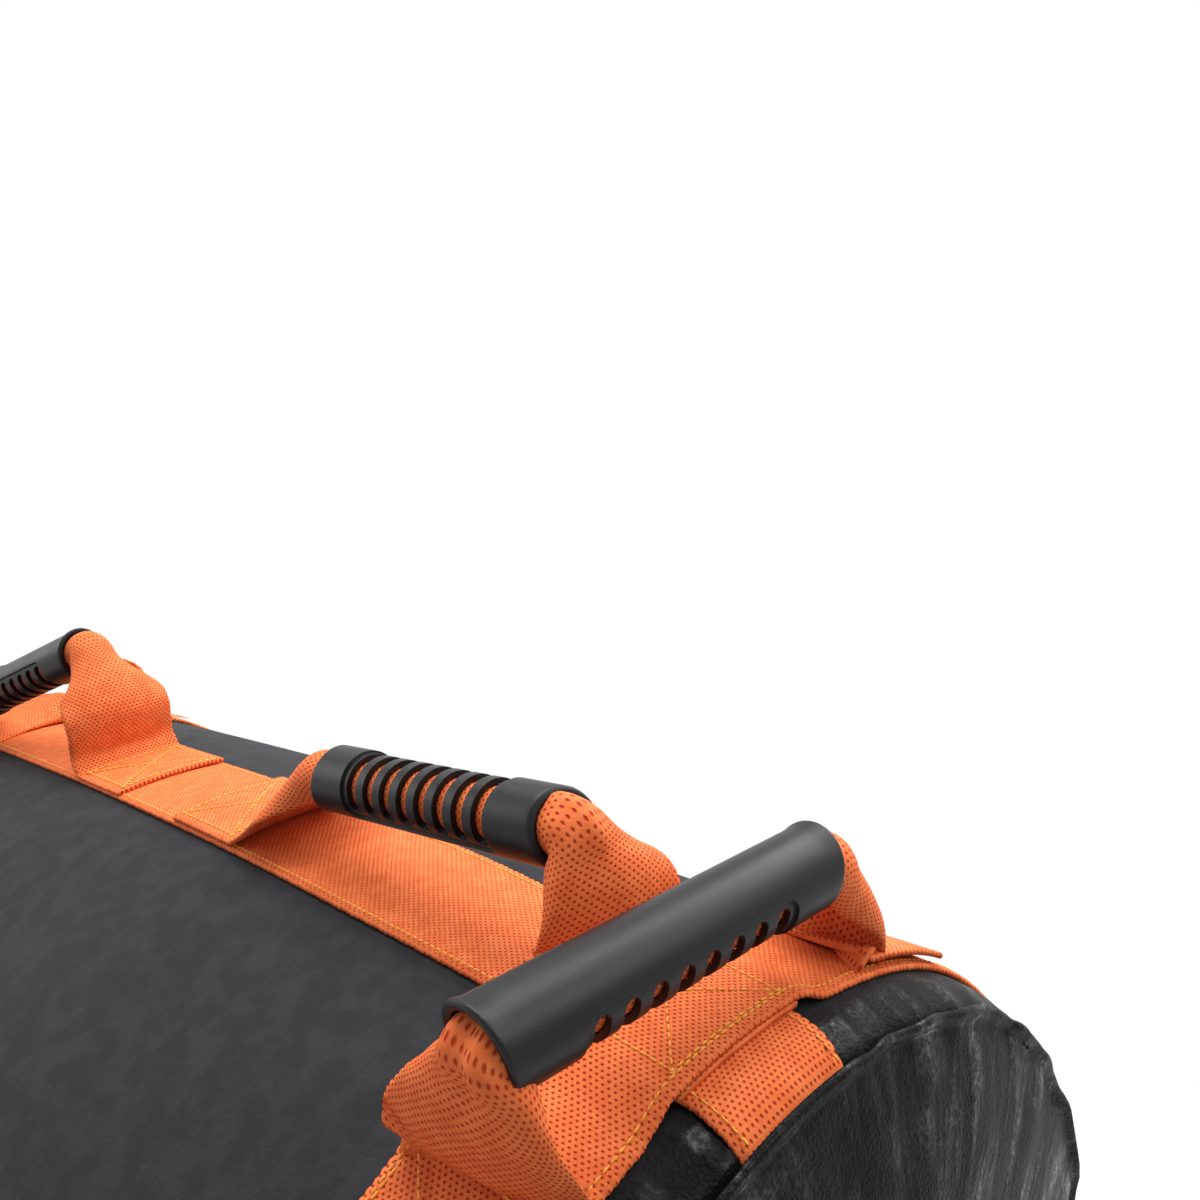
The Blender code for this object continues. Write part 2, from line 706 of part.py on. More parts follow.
SLIDER_PARK = ZIP_LENGTH / 2 - STOP_LENGTH - SLIDER_LENGTH


def make_zip_slider():
    """Two plates joined by a thin web between the rows of teeth, and a bridge for the pull."""
    plate_z = TAPE_THICKNESS / 2 + INNER_GAP + SLIDER_PLATE / 2
    overlap = SLIDER_PLATE / 2
    parts = []
    for z in (plate_z, -plate_z):
        shape = bmesh.new()
        block(shape, (SLIDER_LENGTH, SLIDER_WIDTH, SLIDER_PLATE), Vector((0.0, 0.0, z)))
        parts.append(shape)
    shape = bmesh.new()
    block(shape, (SLIDER_LENGTH / 2, SLIDER_WEB, 2 * plate_z), Vector((0.0, 0.0, 0.0)))
    parts.append(shape)
    top = plate_z + SLIDER_PLATE / 2
    bar_x = (BRIDGE_LENGTH - BRIDGE_BAR) / 2
    for x in (-bar_x, bar_x):
        shape = bmesh.new()
        block(shape, (BRIDGE_BAR, BRIDGE_WIDTH, BRIDGE_HEIGHT + overlap),
              Vector((x, 0.0, top + (BRIDGE_HEIGHT - overlap) / 2)))
        parts.append(shape)
    shape = bmesh.new()
    block(shape, (BRIDGE_LENGTH, BRIDGE_WIDTH, BRIDGE_BAR),
          Vector((0.0, 0.0, top + BRIDGE_HEIGHT - BRIDGE_BAR / 2)))
    parts.append(shape)
    place = zip_frame() @ Matrix.Translation((SLIDER_PARK, 0.0, 0.0))
    add_piece("zip_slider", united("zip_slider", parts), "zip_metal", place)
    eye_z = top + (BRIDGE_HEIGHT - BRIDGE_BAR) / 2
    return place @ Matrix.Translation((0.0, 0.0, eye_z))


def make_zip_pull(place):
    """A tab with an eye round the bridge; the bar that passes under the bridge is its hinge."""
    arm_y = (PULL_WIDTH - PULL_BAR) / 2
    parts = []
    for size, centre in (
        ((PULL_BAR, PULL_WIDTH, PULL_BAR), (0.0, 0.0, 0.0)),
        ((PULL_EYE + PULL_BAR, PULL_BAR, PULL_BAR), (-PULL_EYE / 2, -arm_y, 0.0)),
        ((PULL_EYE + PULL_BAR, PULL_BAR, PULL_BAR), (-PULL_EYE / 2, arm_y, 0.0)),
        ((PULL_LENGTH, PULL_WIDTH, PULL_BAR), (-PULL_EYE - PULL_LENGTH / 2, 0.0, 0.0)),
    ):
        shape = bmesh.new()
        block(shape, size, Vector(centre))
        parts.append(shape)
    add_piece("zip_pull", united("zip_pull", parts), "zip_metal", place)


def make_zip_stop(name, side):
    """A clip over both tapes where the teeth end."""
    shape = bmesh.new()
    z = TAPE_THICKNESS / 2 + GAP + STOP_HEIGHT / 2
    x = side * (ZIP_LENGTH / 2 - STOP_LENGTH / 2)
    block(shape, (STOP_LENGTH, STOP_WIDTH, STOP_HEIGHT), Vector((x, 0.0, z)), zip_frame())
    add_piece(name, shape, "zip_metal")


# Sand fillers: cloth pots on the bag's bottom, their sand, and the closing flaps
def filler_ring(x, inset, squeeze, seat):
    """The bag's section drawn in by an inset, shrunk at the rounded end, and set down."""
    ring = []
    for run in girth_runs(FILLER_STEP):
        y, z, ny, nz = section_at(run)
        flat_y, flat_z = y - ny * inset, z - nz * inset
        ring.append(Vector((x, flat_y * squeeze, AXIS_Z + flat_z * squeeze - seat)))
    return ring


def filler_rings(inset, start, stop, round_length, seat):
    """Rings from the open mouth to the rounded inner end."""
    rings = [filler_ring(stop, inset, 1.0, seat), filler_ring((start + stop) / 2, inset, 1.0, seat)]
    for row in range(FILLER_ROWS):
        angle = math.pi / 2 * row / FILLER_ROWS
        squeeze = math.cos(angle) ** (2 / ROUND_POWER)
        x = start + round_length * (1.0 - math.sin(angle) ** (2 / ROUND_POWER))
        rings.append(filler_ring(x, inset, squeeze, seat * squeeze))
    return rings


def make_filler(side, label):
    """One cloth pot with its mouth towards the bag's end, the sand in it and its flap."""
    seat = FILLER_SLACK
    inset = SHELL_WALL + GAP + FILLER_SLACK
    start = FILLER_PARTING / 2
    stop = start + FILLER_LENGTH
    cloth = FILLER_CLOTH
    outer = filler_rings(inset, start, stop, FILLER_ROUND, seat)
    inner = filler_rings(inset + cloth, start + cloth, stop, FILLER_ROUND - cloth, seat)
    sand_inset = inset + cloth + INNER_GAP
    sand = filler_rings(sand_inset, start + cloth + INNER_GAP, stop - INNER_GAP,
                        FILLER_ROUND - cloth, seat)

    def capped(rings, shape, first, last):
        rows = [[shape.verts.new(point) for point in ring] for ring in rings]
        sides = len(rows[0])
        for one, two in zip(rows, rows[1:]):
            for index in range(sides):
                after = (index + 1) % sides
                shape.faces.new([one[index], one[after], two[after], two[index]])
        if first:
            shape.faces.new(rows[0])
        if last:
            shape.faces.new(rows[-1])

    shape = bmesh.new()
    capped(list(reversed(outer)) + inner, shape, True, True)
    pieces = [(f"filler_bag_{label}", shape, "filler")]
    shape = bmesh.new()
    capped(sand, shape, True, True)
    pieces.append((f"sand_{label}", shape, "sand"))
    shape = bmesh.new()
    x = stop + GAP + FLAP_THICKNESS / 2
    middle_z = AXIS_Z - BELLY_HEIGHT + SHELL_WALL + GAP + FLAP_HEIGHT / 2
    block(shape, (FLAP_THICKNESS, REST_WIDTH, FLAP_HEIGHT), Vector((x, 0.0, middle_z)))
    pieces.append((f"filler_flap_{label}", shape, "filler"))
    for name, body, kind in pieces:
        if side < 0:
            bmesh.ops.scale(body, vec=(-1.0, 1.0, 1.0), verts=body.verts)
        add_piece(name, body, kind)


make_shell_tube()
for side, label in ((-1, "left"), (1, "right")):
    make_end_cap(f"end_cap_{label}", side)
    make_cross_strap(f"cross_strap_{label}", side)
    make_zip_stop(f"zip_stop_{label}", side)
    make_filler(side, label)
make_long_strap()
make_handles()
make_zip_tape("zip_tape_upper", -1)
make_zip_tape("zip_tape_lower", 1)
make_zip_pull(make_zip_slider())
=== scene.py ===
"""Looks of the sandbag trainer: its skin, webbing, threads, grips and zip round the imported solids."""
import json
import math

import bmesh
import bpy
import numpy as np
from mathutils import Matrix, Vector


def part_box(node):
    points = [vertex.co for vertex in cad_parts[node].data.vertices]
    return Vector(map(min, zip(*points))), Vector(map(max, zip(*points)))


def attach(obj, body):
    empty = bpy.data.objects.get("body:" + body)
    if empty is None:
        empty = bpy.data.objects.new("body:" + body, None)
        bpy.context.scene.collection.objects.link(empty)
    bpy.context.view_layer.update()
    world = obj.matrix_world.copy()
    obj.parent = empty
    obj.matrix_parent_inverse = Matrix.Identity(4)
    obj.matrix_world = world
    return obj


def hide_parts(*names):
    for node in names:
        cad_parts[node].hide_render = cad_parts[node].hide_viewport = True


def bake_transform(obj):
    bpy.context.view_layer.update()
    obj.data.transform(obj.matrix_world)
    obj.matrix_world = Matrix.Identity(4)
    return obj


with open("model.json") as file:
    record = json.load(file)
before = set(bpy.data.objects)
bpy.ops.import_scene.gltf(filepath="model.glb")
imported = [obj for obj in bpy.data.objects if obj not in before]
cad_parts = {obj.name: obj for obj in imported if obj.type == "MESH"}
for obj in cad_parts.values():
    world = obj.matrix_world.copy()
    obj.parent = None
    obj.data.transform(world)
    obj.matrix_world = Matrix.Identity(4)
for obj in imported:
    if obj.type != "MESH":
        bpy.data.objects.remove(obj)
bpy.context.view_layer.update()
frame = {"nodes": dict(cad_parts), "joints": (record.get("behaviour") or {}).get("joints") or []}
JOINTS = {joint["name"]: joint for joint in frame["joints"]}

# Camera, lights and floor. The photograph looks from close over the right end along the bag to its
# left, in a white studio with a wide soft light overhead. The pale floor keeps the bag's shadow and
# turns white further off, where the studio's white wall begins.
CAMERA_PLACE = Vector((0.4465, -0.1883, 0.4214))
CAMERA_YAW = math.radians(45.157)
CAMERA_DIP = math.radians(11.010)
CAMERA_ROLL = math.radians(-6.054)
SENSOR_MM = 36.0
FOCAL_MM = 32.42
WORLD_LIGHT = 0.50
FLOOR_RADIUS = 1.6
FLOOR_DROP = 0.0006
SHADOW_LINE = 0.27
SHADOW_RADIUS = 0.42
SHADOW_FADE = 0.30


class Amount:
    """An output of a node; sums written with it add the Math nodes they need."""

    def __init__(self, recipe, socket):
        self.recipe = recipe
        self.socket = socket

    def maths(self, operation, *others):
        values = dict(enumerate((self,) + others))
        return self.recipe.step("ShaderNodeMath", {"operation": operation}, values)

    def __add__(self, other):
        return self.maths("ADD", other)

    def __mul__(self, other):
        return self.maths("MULTIPLY", other)

    def __sub__(self, other):
        return self.maths("SUBTRACT", other)

    def __rsub__(self, other):
        return (self * -1.0).maths("ADD", other)

    def __pow__(self, other):
        return self.maths("POWER", other)

    __radd__ = __add__
    __rmul__ = __mul__

    def between(self, low, high):
        """0 below low, 1 above high, and a smooth step from one to the other."""
        sockets = {"Value": self, "From Min": low, "From Max": high}
        return self.recipe.step("ShaderNodeMapRange", {"interpolation_type": "SMOOTHSTEP"}, sockets)


class Recipe:
    """A node tree that is written out step by step."""

    def __init__(self, tree):
        self.tree = tree

    def step(self, kind, settings=None, sockets=None, out=0):
        """One node: its settings first, then the values or links of its sockets."""
        node = self.tree.nodes.new(kind)
        for name, value in (settings or {}).items():
            setattr(node, name, value)
        for key, value in (sockets or {}).items():
            self.feed(node.inputs[key], value)
        return Amount(self, node.outputs[out])

    def feed(self, socket, value):
        source = value.socket if isinstance(value, Amount) else value
        if isinstance(source, bpy.types.NodeSocket):
            self.tree.links.new(source, socket)
        else:
            socket.default_value = source

    def mixed(self, share, first, second):
        """A colour from first to second by a share."""
        return self.step("ShaderNodeMix", {"data_type": "RGBA"}, {0: share, 6: first, 7: second}, out=2)


class Finish(Recipe):
    """A material: its even values sit on the shader, its patterns are fed to it."""

    def __init__(self, name, colour, roughness, metallic=0.0, sheen=0.0, specular=0.5):
        self.material = bpy.data.materials.new(name)
        self.material.use_nodes = True
        super().__init__(self.material.node_tree)
        self.shader = self.tree.nodes["Principled BSDF"]
        inputs = self.shader.inputs
        inputs["Base Color"].default_value = (*colour, 1.0)
        inputs["Roughness"].default_value = roughness
        inputs["Metallic"].default_value = metallic
        inputs["Sheen Weight"].default_value = sheen
        inputs["Specular IOR Level"].default_value = specular

    def place(self):
        """Object coordinates, in metres."""
        return self.step("ShaderNodeTexCoord", out=3)

    def noise(self, scale, detail=2.0, roughness=0.5, stretch=None):
        """Noise with so many waves to the metre, drawn out along the axes by stretch."""
        vector = self.place()
        if stretch:
            vector = self.step("ShaderNodeVectorMath", {"operation": "MULTIPLY"}, {0: vector, 1: stretch})
        sockets = {"Vector": vector, "Scale": scale, "Detail": detail, "Roughness": roughness}
        return self.step("ShaderNodeTexNoise", {}, sockets)

    def wear(self, key, value):
        self.feed(self.shader.inputs[key], value)

    def emboss(self, height, distance, strength=1.0, normal=None):
        """Bump of a height from 0 to 1 over a distance in metres."""
        sockets = {"Height": height, "Distance": distance, "Strength": strength}
        if normal:
            sockets["Normal"] = normal
        return self.step("ShaderNodeBump", {}, sockets)


def link(name, data):
    """A new object in the scene."""
    made = bpy.data.objects.new(name, data)
    bpy.context.scene.collection.objects.link(made)
    return made


lens = bpy.data.cameras.new("camera")
lens.sensor_width = SENSOR_MM
lens.lens = FOCAL_MM
lens.clip_start = 0.01
camera = link("camera", lens)
ahead = Vector((-math.sin(CAMERA_YAW) * math.cos(CAMERA_DIP),
                math.cos(CAMERA_YAW) * math.cos(CAMERA_DIP), -math.sin(CAMERA_DIP)))
level = ahead.cross(Vector((0.0, 0.0, 1.0))).normalized()
upright = level.cross(ahead)
right = level * math.cos(CAMERA_ROLL) + upright * math.sin(CAMERA_ROLL)
above = upright * math.cos(CAMERA_ROLL) - level * math.sin(CAMERA_ROLL)
camera.matrix_world = Matrix.Translation(CAMERA_PLACE) @ Matrix((right, above, -ahead)).transposed().to_4x4()
bpy.context.scene.camera = camera
bpy.context.scene.view_settings.view_transform = "Standard"


def soft_light(name, place, target, size, power):
    lamp = bpy.data.lights.new(name, "AREA")
    lamp.shape = "RECTANGLE"
    lamp.size, lamp.size_y = size
    lamp.energy = power
    made = link(name, lamp)
    made.location = place
    made.rotation_euler = (Vector(target) - Vector(place)).to_track_quat("-Z", "Y").to_euler()


soft_light("light_overhead", (-0.10, 0.35, 1.75), (0.08, 0.0, 0.2), (1.7, 1.2), 42.0)
soft_light("light_back", (0.35, 1.55, 1.25), (0.28, 0.0, 0.25), (1.3, 0.6), 22.0)
soft_light("light_right", (1.45, 0.75, 1.30), (0.30, 0.0, 0.2), (0.4, 0.8), 9.0)
soft_light("light_left", (-1.5, -0.9, 1.1), (0.0, 0.0, 0.2), (1.2, 1.0), 9.0)

studio = bpy.data.worlds.new("studio")
studio.use_nodes = True
bpy.context.scene.world = studio
walls = Recipe(studio.node_tree)
path = walls.tree.nodes.new("ShaderNodeLightPath")
bare = Amount(walls, path.outputs["Is Camera Ray"])
shiny = Amount(walls, path.outputs["Is Glossy Ray"])
clear_through = Amount(walls, path.outputs["Is Transmission Ray"])
seen = bare.maths("MAXIMUM", shiny).maths("MAXIMUM", clear_through)
background = walls.tree.nodes["Background"]
background.inputs["Color"].default_value = (1.0, 1.0, 1.0, 1.0)
walls.feed(background.inputs["Strength"], seen * (1.0 - WORLD_LIGHT) + WORLD_LIGHT)

floor_mesh = bpy.data.meshes.new("floor")
disc = bmesh.new()
bmesh.ops.create_circle(disc, cap_ends=True, segments=96, radius=FLOOR_RADIUS)
disc.to_mesh(floor_mesh)
disc.free()
floor = link("floor", floor_mesh)
floor.location.z = -FLOOR_DROP
paper = Finish("floor_paper", (0.86, 0.86, 0.86), 0.7)
spot = paper.step("ShaderNodeSeparateXYZ", {}, {0: paper.place()})
spot_y = Amount(paper, spot.socket.node.outputs[1])
beyond = (spot.maths("ABSOLUTE") - SHADOW_LINE).maths("MAXIMUM", 0.0)
distance = (beyond * beyond + spot_y * spot_y).maths("SQRT")
clear = paper.tree.nodes.new("ShaderNodeBsdfTransparent")
fade = paper.tree.nodes.new("ShaderNodeMixShader")
end = paper.tree.nodes["Material Output"]
paper.feed(fade.inputs[0], distance.between(SHADOW_RADIUS - SHADOW_FADE, SHADOW_RADIUS))
paper.tree.links.new(paper.shader.outputs[0], fade.inputs[1])
paper.tree.links.new(clear.outputs[0], fade.inputs[2])
paper.tree.links.new(fade.outputs[0], end.inputs["Surface"])
floor_mesh.materials.append(paper.material)

# The bag's skin: one piece of black leather-like sheet sewn into a tube, stretched over the sand, with
# a zip in its back. Next to each end seam it is gathered, so it lies in short puckers there.
BODY_WIDTH = 0.330
CROWN_HEIGHT = 0.148
BELLY_HEIGHT = 0.118
REST_WIDTH = 0.150
CROWN_DROP = 0.017
CROWN_POWER = 3
SKIN_WALL = 0.0012
SHELL_WALL = 0.0015
SECTION_SAMPLES = 400
CROSS_X = JOINTS["handle_3_swing"]["pos_m"][0]
WEB_WIDTH = 0.050
WEB_THICKNESS = 0.002
GAP = 0.0003
LAYER = WEB_THICKNESS + GAP
CROSS_OUTER_X = CROSS_X + WEB_WIDTH / 2
END_BAND = 0.016
SEAM_X = CROSS_OUTER_X + END_BAND
SEAM_TUCK = 0.006
AXIS_Z = BELLY_HEIGHT + LAYER
ZIP_PLACE = 0.222
ZIP_LENGTH = 0.400
ZIP_OPENING = 0.020
UNDULATION = 0.0006
REST_FADE = 0.02
SEAM_GROOVE = 0.0034
GROOVE_WIDTH = 0.0014
SEAM_REACH = 0.009
FINE_FROM = -0.300


def trace_section():
    """Half of the section from the crest to the middle of the flat: run, y, z and the normal."""
    half_width, half_rest = BODY_WIDTH / 2, REST_WIDTH / 2
    corner = half_width - half_rest
    turn = np.linspace(0.0, math.pi / 2, SECTION_SAMPLES)
    y = np.concatenate([half_width * np.sin(turn), half_rest + corner * np.cos(turn[1:]), [0.0]])
    z = np.concatenate([CROWN_HEIGHT * np.cos(turn), -BELLY_HEIGHT * np.sin(turn[1:]), [-BELLY_HEIGHT]])
    ny = np.concatenate([CROWN_HEIGHT * np.sin(turn), BELLY_HEIGHT * np.cos(turn[1:]), [0.0]])
    nz = np.concatenate([half_width * np.cos(turn), -corner * np.sin(turn[1:]), [-corner]])
    size = np.hypot(ny, nz)
    run = np.concatenate([[0.0], np.cumsum(np.hypot(np.diff(y), np.diff(z)))])
    return run, y, z, ny / size, nz / size


SECTION = trace_section()
HALF_GIRTH = float(SECTION[0][-1])
ENDS = ((-1, "left"), (1, "right"))


def skin_places(x, run, lift=0.0):
    """Points on the filled skin at x and at runs round it from the crest, lifted along the normal."""
    x, run, lift = np.broadcast_arrays(np.asarray(x, float), run, lift)
    side = np.where(run < 0, -1.0, 1.0)
    y, z, ny, nz = (np.interp(np.abs(run), SECTION[0], row) for row in SECTION[1:])
    crown = CROWN_DROP * np.abs(x / SEAM_X) ** CROWN_POWER * (np.maximum(z, 0.0) / CROWN_HEIGHT) ** 2
    band = np.clip((np.abs(x) - CROSS_OUTER_X) / END_BAND, 0.0, 1.0)
    wave = np.sin(x * 41.0 + 1.3) * np.sin(run * 29.0 + 0.4) + np.sin(x * 23.0 - run * 47.0)
    wave = wave * np.clip((z + BELLY_HEIGHT) / REST_FADE, 0.0, 1.0)
    away = lift - crown - SEAM_TUCK * band ** 2 + UNDULATION * wave
    return np.stack([x, side * (y + ny * away), AXIS_Z + z + nz * away], axis=-1)


def spaced(start, stop, step):
    """Even places from start to stop, about a step apart."""
    return np.linspace(start, stop, max(2, int(round(abs(stop - start) / step)) + 1))


def surface(name, places, across, along, around=False, looped=False, capped=False, keep=None):
    """A mesh over a grid of places; across and along, in metres, become its UV map.

    The columns close round if around is set, the rows if looped is set, and capped shuts the ends."""
    rows, columns = places.shape[:2]
    i, j = np.meshgrid(np.arange(rows if looped else rows - 1),
                       np.arange(columns if around else columns - 1), indexing="ij")
    i, j = i.ravel(), j.ravel()
    if keep is not None:
        kept = keep(i, j)
        i, j = i[kept], j[kept]
    corners = [(i, j), (i + 1, j), (i + 1, j + 1), (i, j + 1)]
    faces = np.stack([(a % rows) * columns + b % columns for a, b in corners], axis=1)
    shares = np.stack([np.stack([across[b], along[a]], axis=1) for a, b in corners], axis=1)
    faces, shares = faces.tolist(), shares.reshape(-1, 2)
    if capped:
        faces += [list(range(columns)), [(rows - 1) * columns + b for b in reversed(range(columns))]]
        ends = [[across[b], along[0]] for b in range(columns)]
        ends += [[across[b], along[rows - 1]] for b in reversed(range(columns))]
        shares = np.concatenate([shares, ends])
    mesh = bpy.data.meshes.new(name)
    mesh.from_pydata(places.reshape(-1, 3).tolist(), [], faces)
    layer = mesh.uv_layers.new(name="UVMap")
    layer.data.foreach_set("uv", shares.astype(np.float32).ravel())
    mesh.shade_smooth()
    return link(name, mesh)


def thicken(piece, thickness, offset=-1.0):
    """Give a sheet its thickness, inwards unless an offset says otherwise."""
    wall = piece.modifiers.new("wall", "SOLIDIFY")
    wall.thickness = thickness
    wall.offset = offset


def paint(piece, finish):
    """Give a piece its finish in place of any other."""
    piece.data.materials.clear()
    piece.data.materials.append(finish.material)


def dress(piece, finish, body):
    """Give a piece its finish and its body."""
    paint(piece, finish)
    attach(piece, body)


def gathers(run, off, seed, spacing, breadth, height, reach, lean):
    """Ridges of gathered leather: their height at a run round the bag and a distance off the seam."""
    chance = np.random.default_rng(seed)
    lift = np.zeros(np.broadcast(run, off).shape)
    place = -HALF_GIRTH
    while place < HALF_GIRTH:
        place += chance.uniform(*spacing)
        width = chance.uniform(*breadth)
        tall = chance.uniform(0.35, 1.0) * height
        length = chance.uniform(*reach)
        drift = chance.uniform(-lean, lean)
        gap = (run - place - drift * off + HALF_GIRTH) % (2 * HALF_GIRTH) - HALF_GIRTH
        lift += tall * np.exp(-(np.abs(gap) / width) ** 1.7) * np.exp(-(off / length) ** 2)
    return lift


def smooth_step(share):
    share = np.clip(share, 0.0, 1.0)
    return share * share * (3.0 - 2.0 * share)


def strap_clear(run):
    """0 where the long strap holds the leather down, 1 away from it."""
    return smooth_step((np.abs(run) - WEB_WIDTH / 2) / 0.008)


def seam_wave(run):
    """How far the sewn seam strays to either side as it goes round."""
    return (0.0007 * np.sin(run * 90.0) + 0.0004 * np.sin(run * 211.0 + 1.0)) * strap_clear(run)


leather = Finish("leather", (0.010, 0.0105, 0.0115), 0.5, sheen=0.02, specular=0.05)
leather.shader.inputs["Coat Roughness"].default_value = 0.20
grain = leather.noise(1500.0, 3.0, 0.6)
pebble = leather.noise(900.0, 2.0, 0.55)
blotches = leather.noise(95.0, 4.0, 0.6)
cloudy = leather.noise(14.0, 2.0, 0.5)
spot = leather.step("ShaderNodeSeparateXYZ", {}, {0: leather.place()})
spot_y, spot_z = (Amount(leather, output) for output in spot.socket.node.outputs[1:3])
taut = spot.maths("ABSOLUTE").between(0.286, 0.298)
from_axis = (spot_y * spot_y + (spot_z - AXIS_Z) ** 2.0).maths("SQRT")
on_sheet = leather.step("ShaderNodeTexCoord", out=2)
drawn = leather.step("ShaderNodeVectorMath", {"operation": "MULTIPLY"}, {0: on_sheet, 1: (1.0, 0.30, 0.0)})
puckers = leather.step("ShaderNodeTexNoise", {},
                       {"Vector": drawn, "Scale": 78.0, "Detail": 2.0, "Distortion": 0.4})
ridge = puckers.between(0.42, 0.72) * from_axis.between(0.045, 0.125)
speckle = leather.noise(700.0, 2.0, 0.6).between(0.40, 0.66)
rubbed = blotches.between(0.38, 0.66)
# The body's base colour is mottled at random and lightened to stand in for the broad grey sheen of a white
# studio: painted sheen. The band and caps by the seams keep the leather's bare black.
body_grey_with_painted_sheen = leather.mixed(rubbed, (0.0185, 0.019, 0.0212, 1.0), (0.0260, 0.0265, 0.0290, 1.0))
bare_black = leather.mixed(rubbed, (0.0018, 0.0019, 0.0021, 1.0), (0.0040, 0.0042, 0.0047, 1.0))
leather.wear("Base Color", leather.mixed(taut, body_grey_with_painted_sheen, bare_black))
leather.wear("Roughness", 0.56 + cloudy * 0.10 - taut * 0.16)
leather.wear("Coat Weight", taut * (0.01 + ridge * (0.12 + rubbed * 0.70) * (0.25 + speckle)))
grained = leather.emboss(grain * 0.5 + pebble.between(0.36, 0.64) * (0.35 + taut * 0.9), 0.00020, 0.8)
leather.wear("Normal", leather.emboss(ridge * taut, 0.0009, 0.8, grained))

half_zip = ZIP_LENGTH / 2
zip_low, zip_high = ZIP_PLACE - ZIP_OPENING / 2, ZIP_PLACE + ZIP_OPENING / 2
band_x = CROSS_OUTER_X + END_BAND * np.linspace(0.0, 1.0, 15)[1:] ** 0.8
body_x = np.concatenate([spaced(-CROSS_OUTER_X, -half_zip, 0.007)[:-1], spaced(-half_zip, half_zip, 0.0075),
                         spaced(half_zip, CROSS_OUTER_X, 0.007)[1:]])
tube_x = np.concatenate([-band_x[::-1], body_x, band_x])
tube_run = np.concatenate([spaced(-HALF_GIRTH, FINE_FROM, 0.006)[:-1],
                           spaced(FINE_FROM, zip_low, 0.0024),
                           spaced(zip_high, HALF_GIRTH, 0.006)[:-1]])


def tube_lift(x, run):
    """Puckers in the band next to the seam, and the groove that the seam pulls."""
    off = SEAM_X - np.abs(x)
    band = np.clip(1.0 - off / END_BAND, 0.0, 1.0)
    ridges = gathers(run, off, 11, (0.010, 0.026), (0.0035, 0.0080), 0.0016, (0.018, 0.030), 0.45)
    groove = SEAM_GROOVE * np.exp(-(off / GROOVE_WIDTH) ** 2)
    return (ridges - 0.0004) * band ** 0.7 * strap_clear(run) - groove


def make_skin():
    """The tube of the bag, open along the zip."""
    x, run = np.meshgrid(tube_x, tube_run, indexing="ij")
    near = np.exp(-((SEAM_X - np.abs(x)) / SEAM_REACH) ** 2)
    places = skin_places(x, run, tube_lift(x, run))
    places[..., 0] += seam_wave(run) * near * np.sign(x)
    last = np.searchsorted(tube_run, zip_low + GAP) - 1
    starts = (tube_x[:-1] + tube_x[1:]) / 2

    def keep(i, j):
        return ~((np.abs(starts[i]) < half_zip) & (j == last))

    across = np.append(tube_run, HALF_GIRTH)
    piece = surface("bag_skin", places, across, tube_x, around=True, keep=keep)
    thicken(piece, SKIN_WALL)
    return piece


skin = make_skin()
dress(skin, leather, "bag")
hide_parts("shell_tube")

# End caps: a round of the same leather-like sheet, gathered to the tube's rim and sewn to it inside
# out, so that it domes over the sand with pleats that run in from the sunk seam.
CAP_DEPTH = 0.020
DOME_POWER = 1.5
CAP_ROWS = 64


def write(shape, mesh):
    """Write a shape into a mesh with its faces outwards."""
    bmesh.ops.recalc_face_normals(shape, faces=shape.faces)
    shape.to_mesh(mesh)
    shape.free()


def face_outwards(piece, last_row=0, split=False):
    """Turn all faces outwards; first shut the last row of so many points, split up if asked."""
    shape = bmesh.new()
    shape.from_mesh(piece.data)
    if last_row:
        shape.faces.new(list(shape.verts)[-last_row:])
    if split:
        bmesh.ops.triangulate(shape, faces=[face for face in shape.faces if len(face.verts) > 4])
    write(shape, piece.data)


def make_cap(name, side):
    """A dome over the tube's rim, with long and short pleats that run in from the seam."""
    rim = skin_places(SEAM_X, tube_run)
    rows = []
    turns = math.pi / 2 * np.linspace(0.0, 1.0, CAP_ROWS + 1)[:-1] ** 1.25
    for turn in turns:
        inward = math.cos(turn) ** (2 / DOME_POWER)
        ring = rim.copy()
        ring[:, 0] = SEAM_X + GAP + CAP_DEPTH * math.sin(turn) ** (2 / DOME_POWER)
        ring[:, 1] *= inward
        ring[:, 2] = AXIS_Z + (ring[:, 2] - AXIS_Z) * inward
        rows.append(ring)
    places = np.array(rows)
    steps = np.linalg.norm(np.diff(places, axis=0), axis=2).mean(axis=1)
    off = np.concatenate([[0.0], np.cumsum(steps)])[:, None]
    run = np.broadcast_to(tube_run, (CAP_ROWS, len(tube_run)))
    long_pleats = gathers(run, off, 23 + side, (0.022, 0.050), (0.0080, 0.0150), 0.0011,
                          (0.060, 0.130), 0.25)
    short_pleats = gathers(run, off, 37 + side, (0.010, 0.024), (0.0030, 0.0060), 0.0007,
                           (0.012, 0.030), 0.40)
    swell = 0.0012 * (1.0 - np.exp(-off / 0.006)) * np.exp(-off / 0.060)
    sway = 0.0006 * np.sin(run * 17.0 + off * 31.0) * np.sin(off * 45.0 + run * 9.0 + side)
    groove = SEAM_GROOVE * np.exp(-(off / GROOVE_WIDTH) ** 2)
    free = np.maximum(strap_clear(run), np.minimum(off / 0.012, 1.0))
    lift = (long_pleats + short_pleats + swell) * free + sway * np.minimum(off / 0.03, 1.0) - groove
    lift *= np.clip((off[-1] - off) / 0.05, 0.0, 1.0)
    down = np.gradient(places, axis=0)
    round_it = np.roll(places, -1, axis=1) - np.roll(places, 1, axis=1)
    normal = np.cross(round_it, down)
    normal /= np.linalg.norm(normal, axis=2, keepdims=True)
    places = places + normal * lift[..., None]
    places[..., 0] += seam_wave(run) * np.exp(-(off / SEAM_REACH) ** 2)
    places[..., 0] *= side
    if side < 0:
        places = places[:, ::-1]
    across = np.append(tube_run, HALF_GIRTH)
    piece = surface(name, places, across, off[:, 0], around=True)
    face_outwards(piece, len(tube_run), split=True)
    thicken(piece, SKIN_WALL)
    return piece


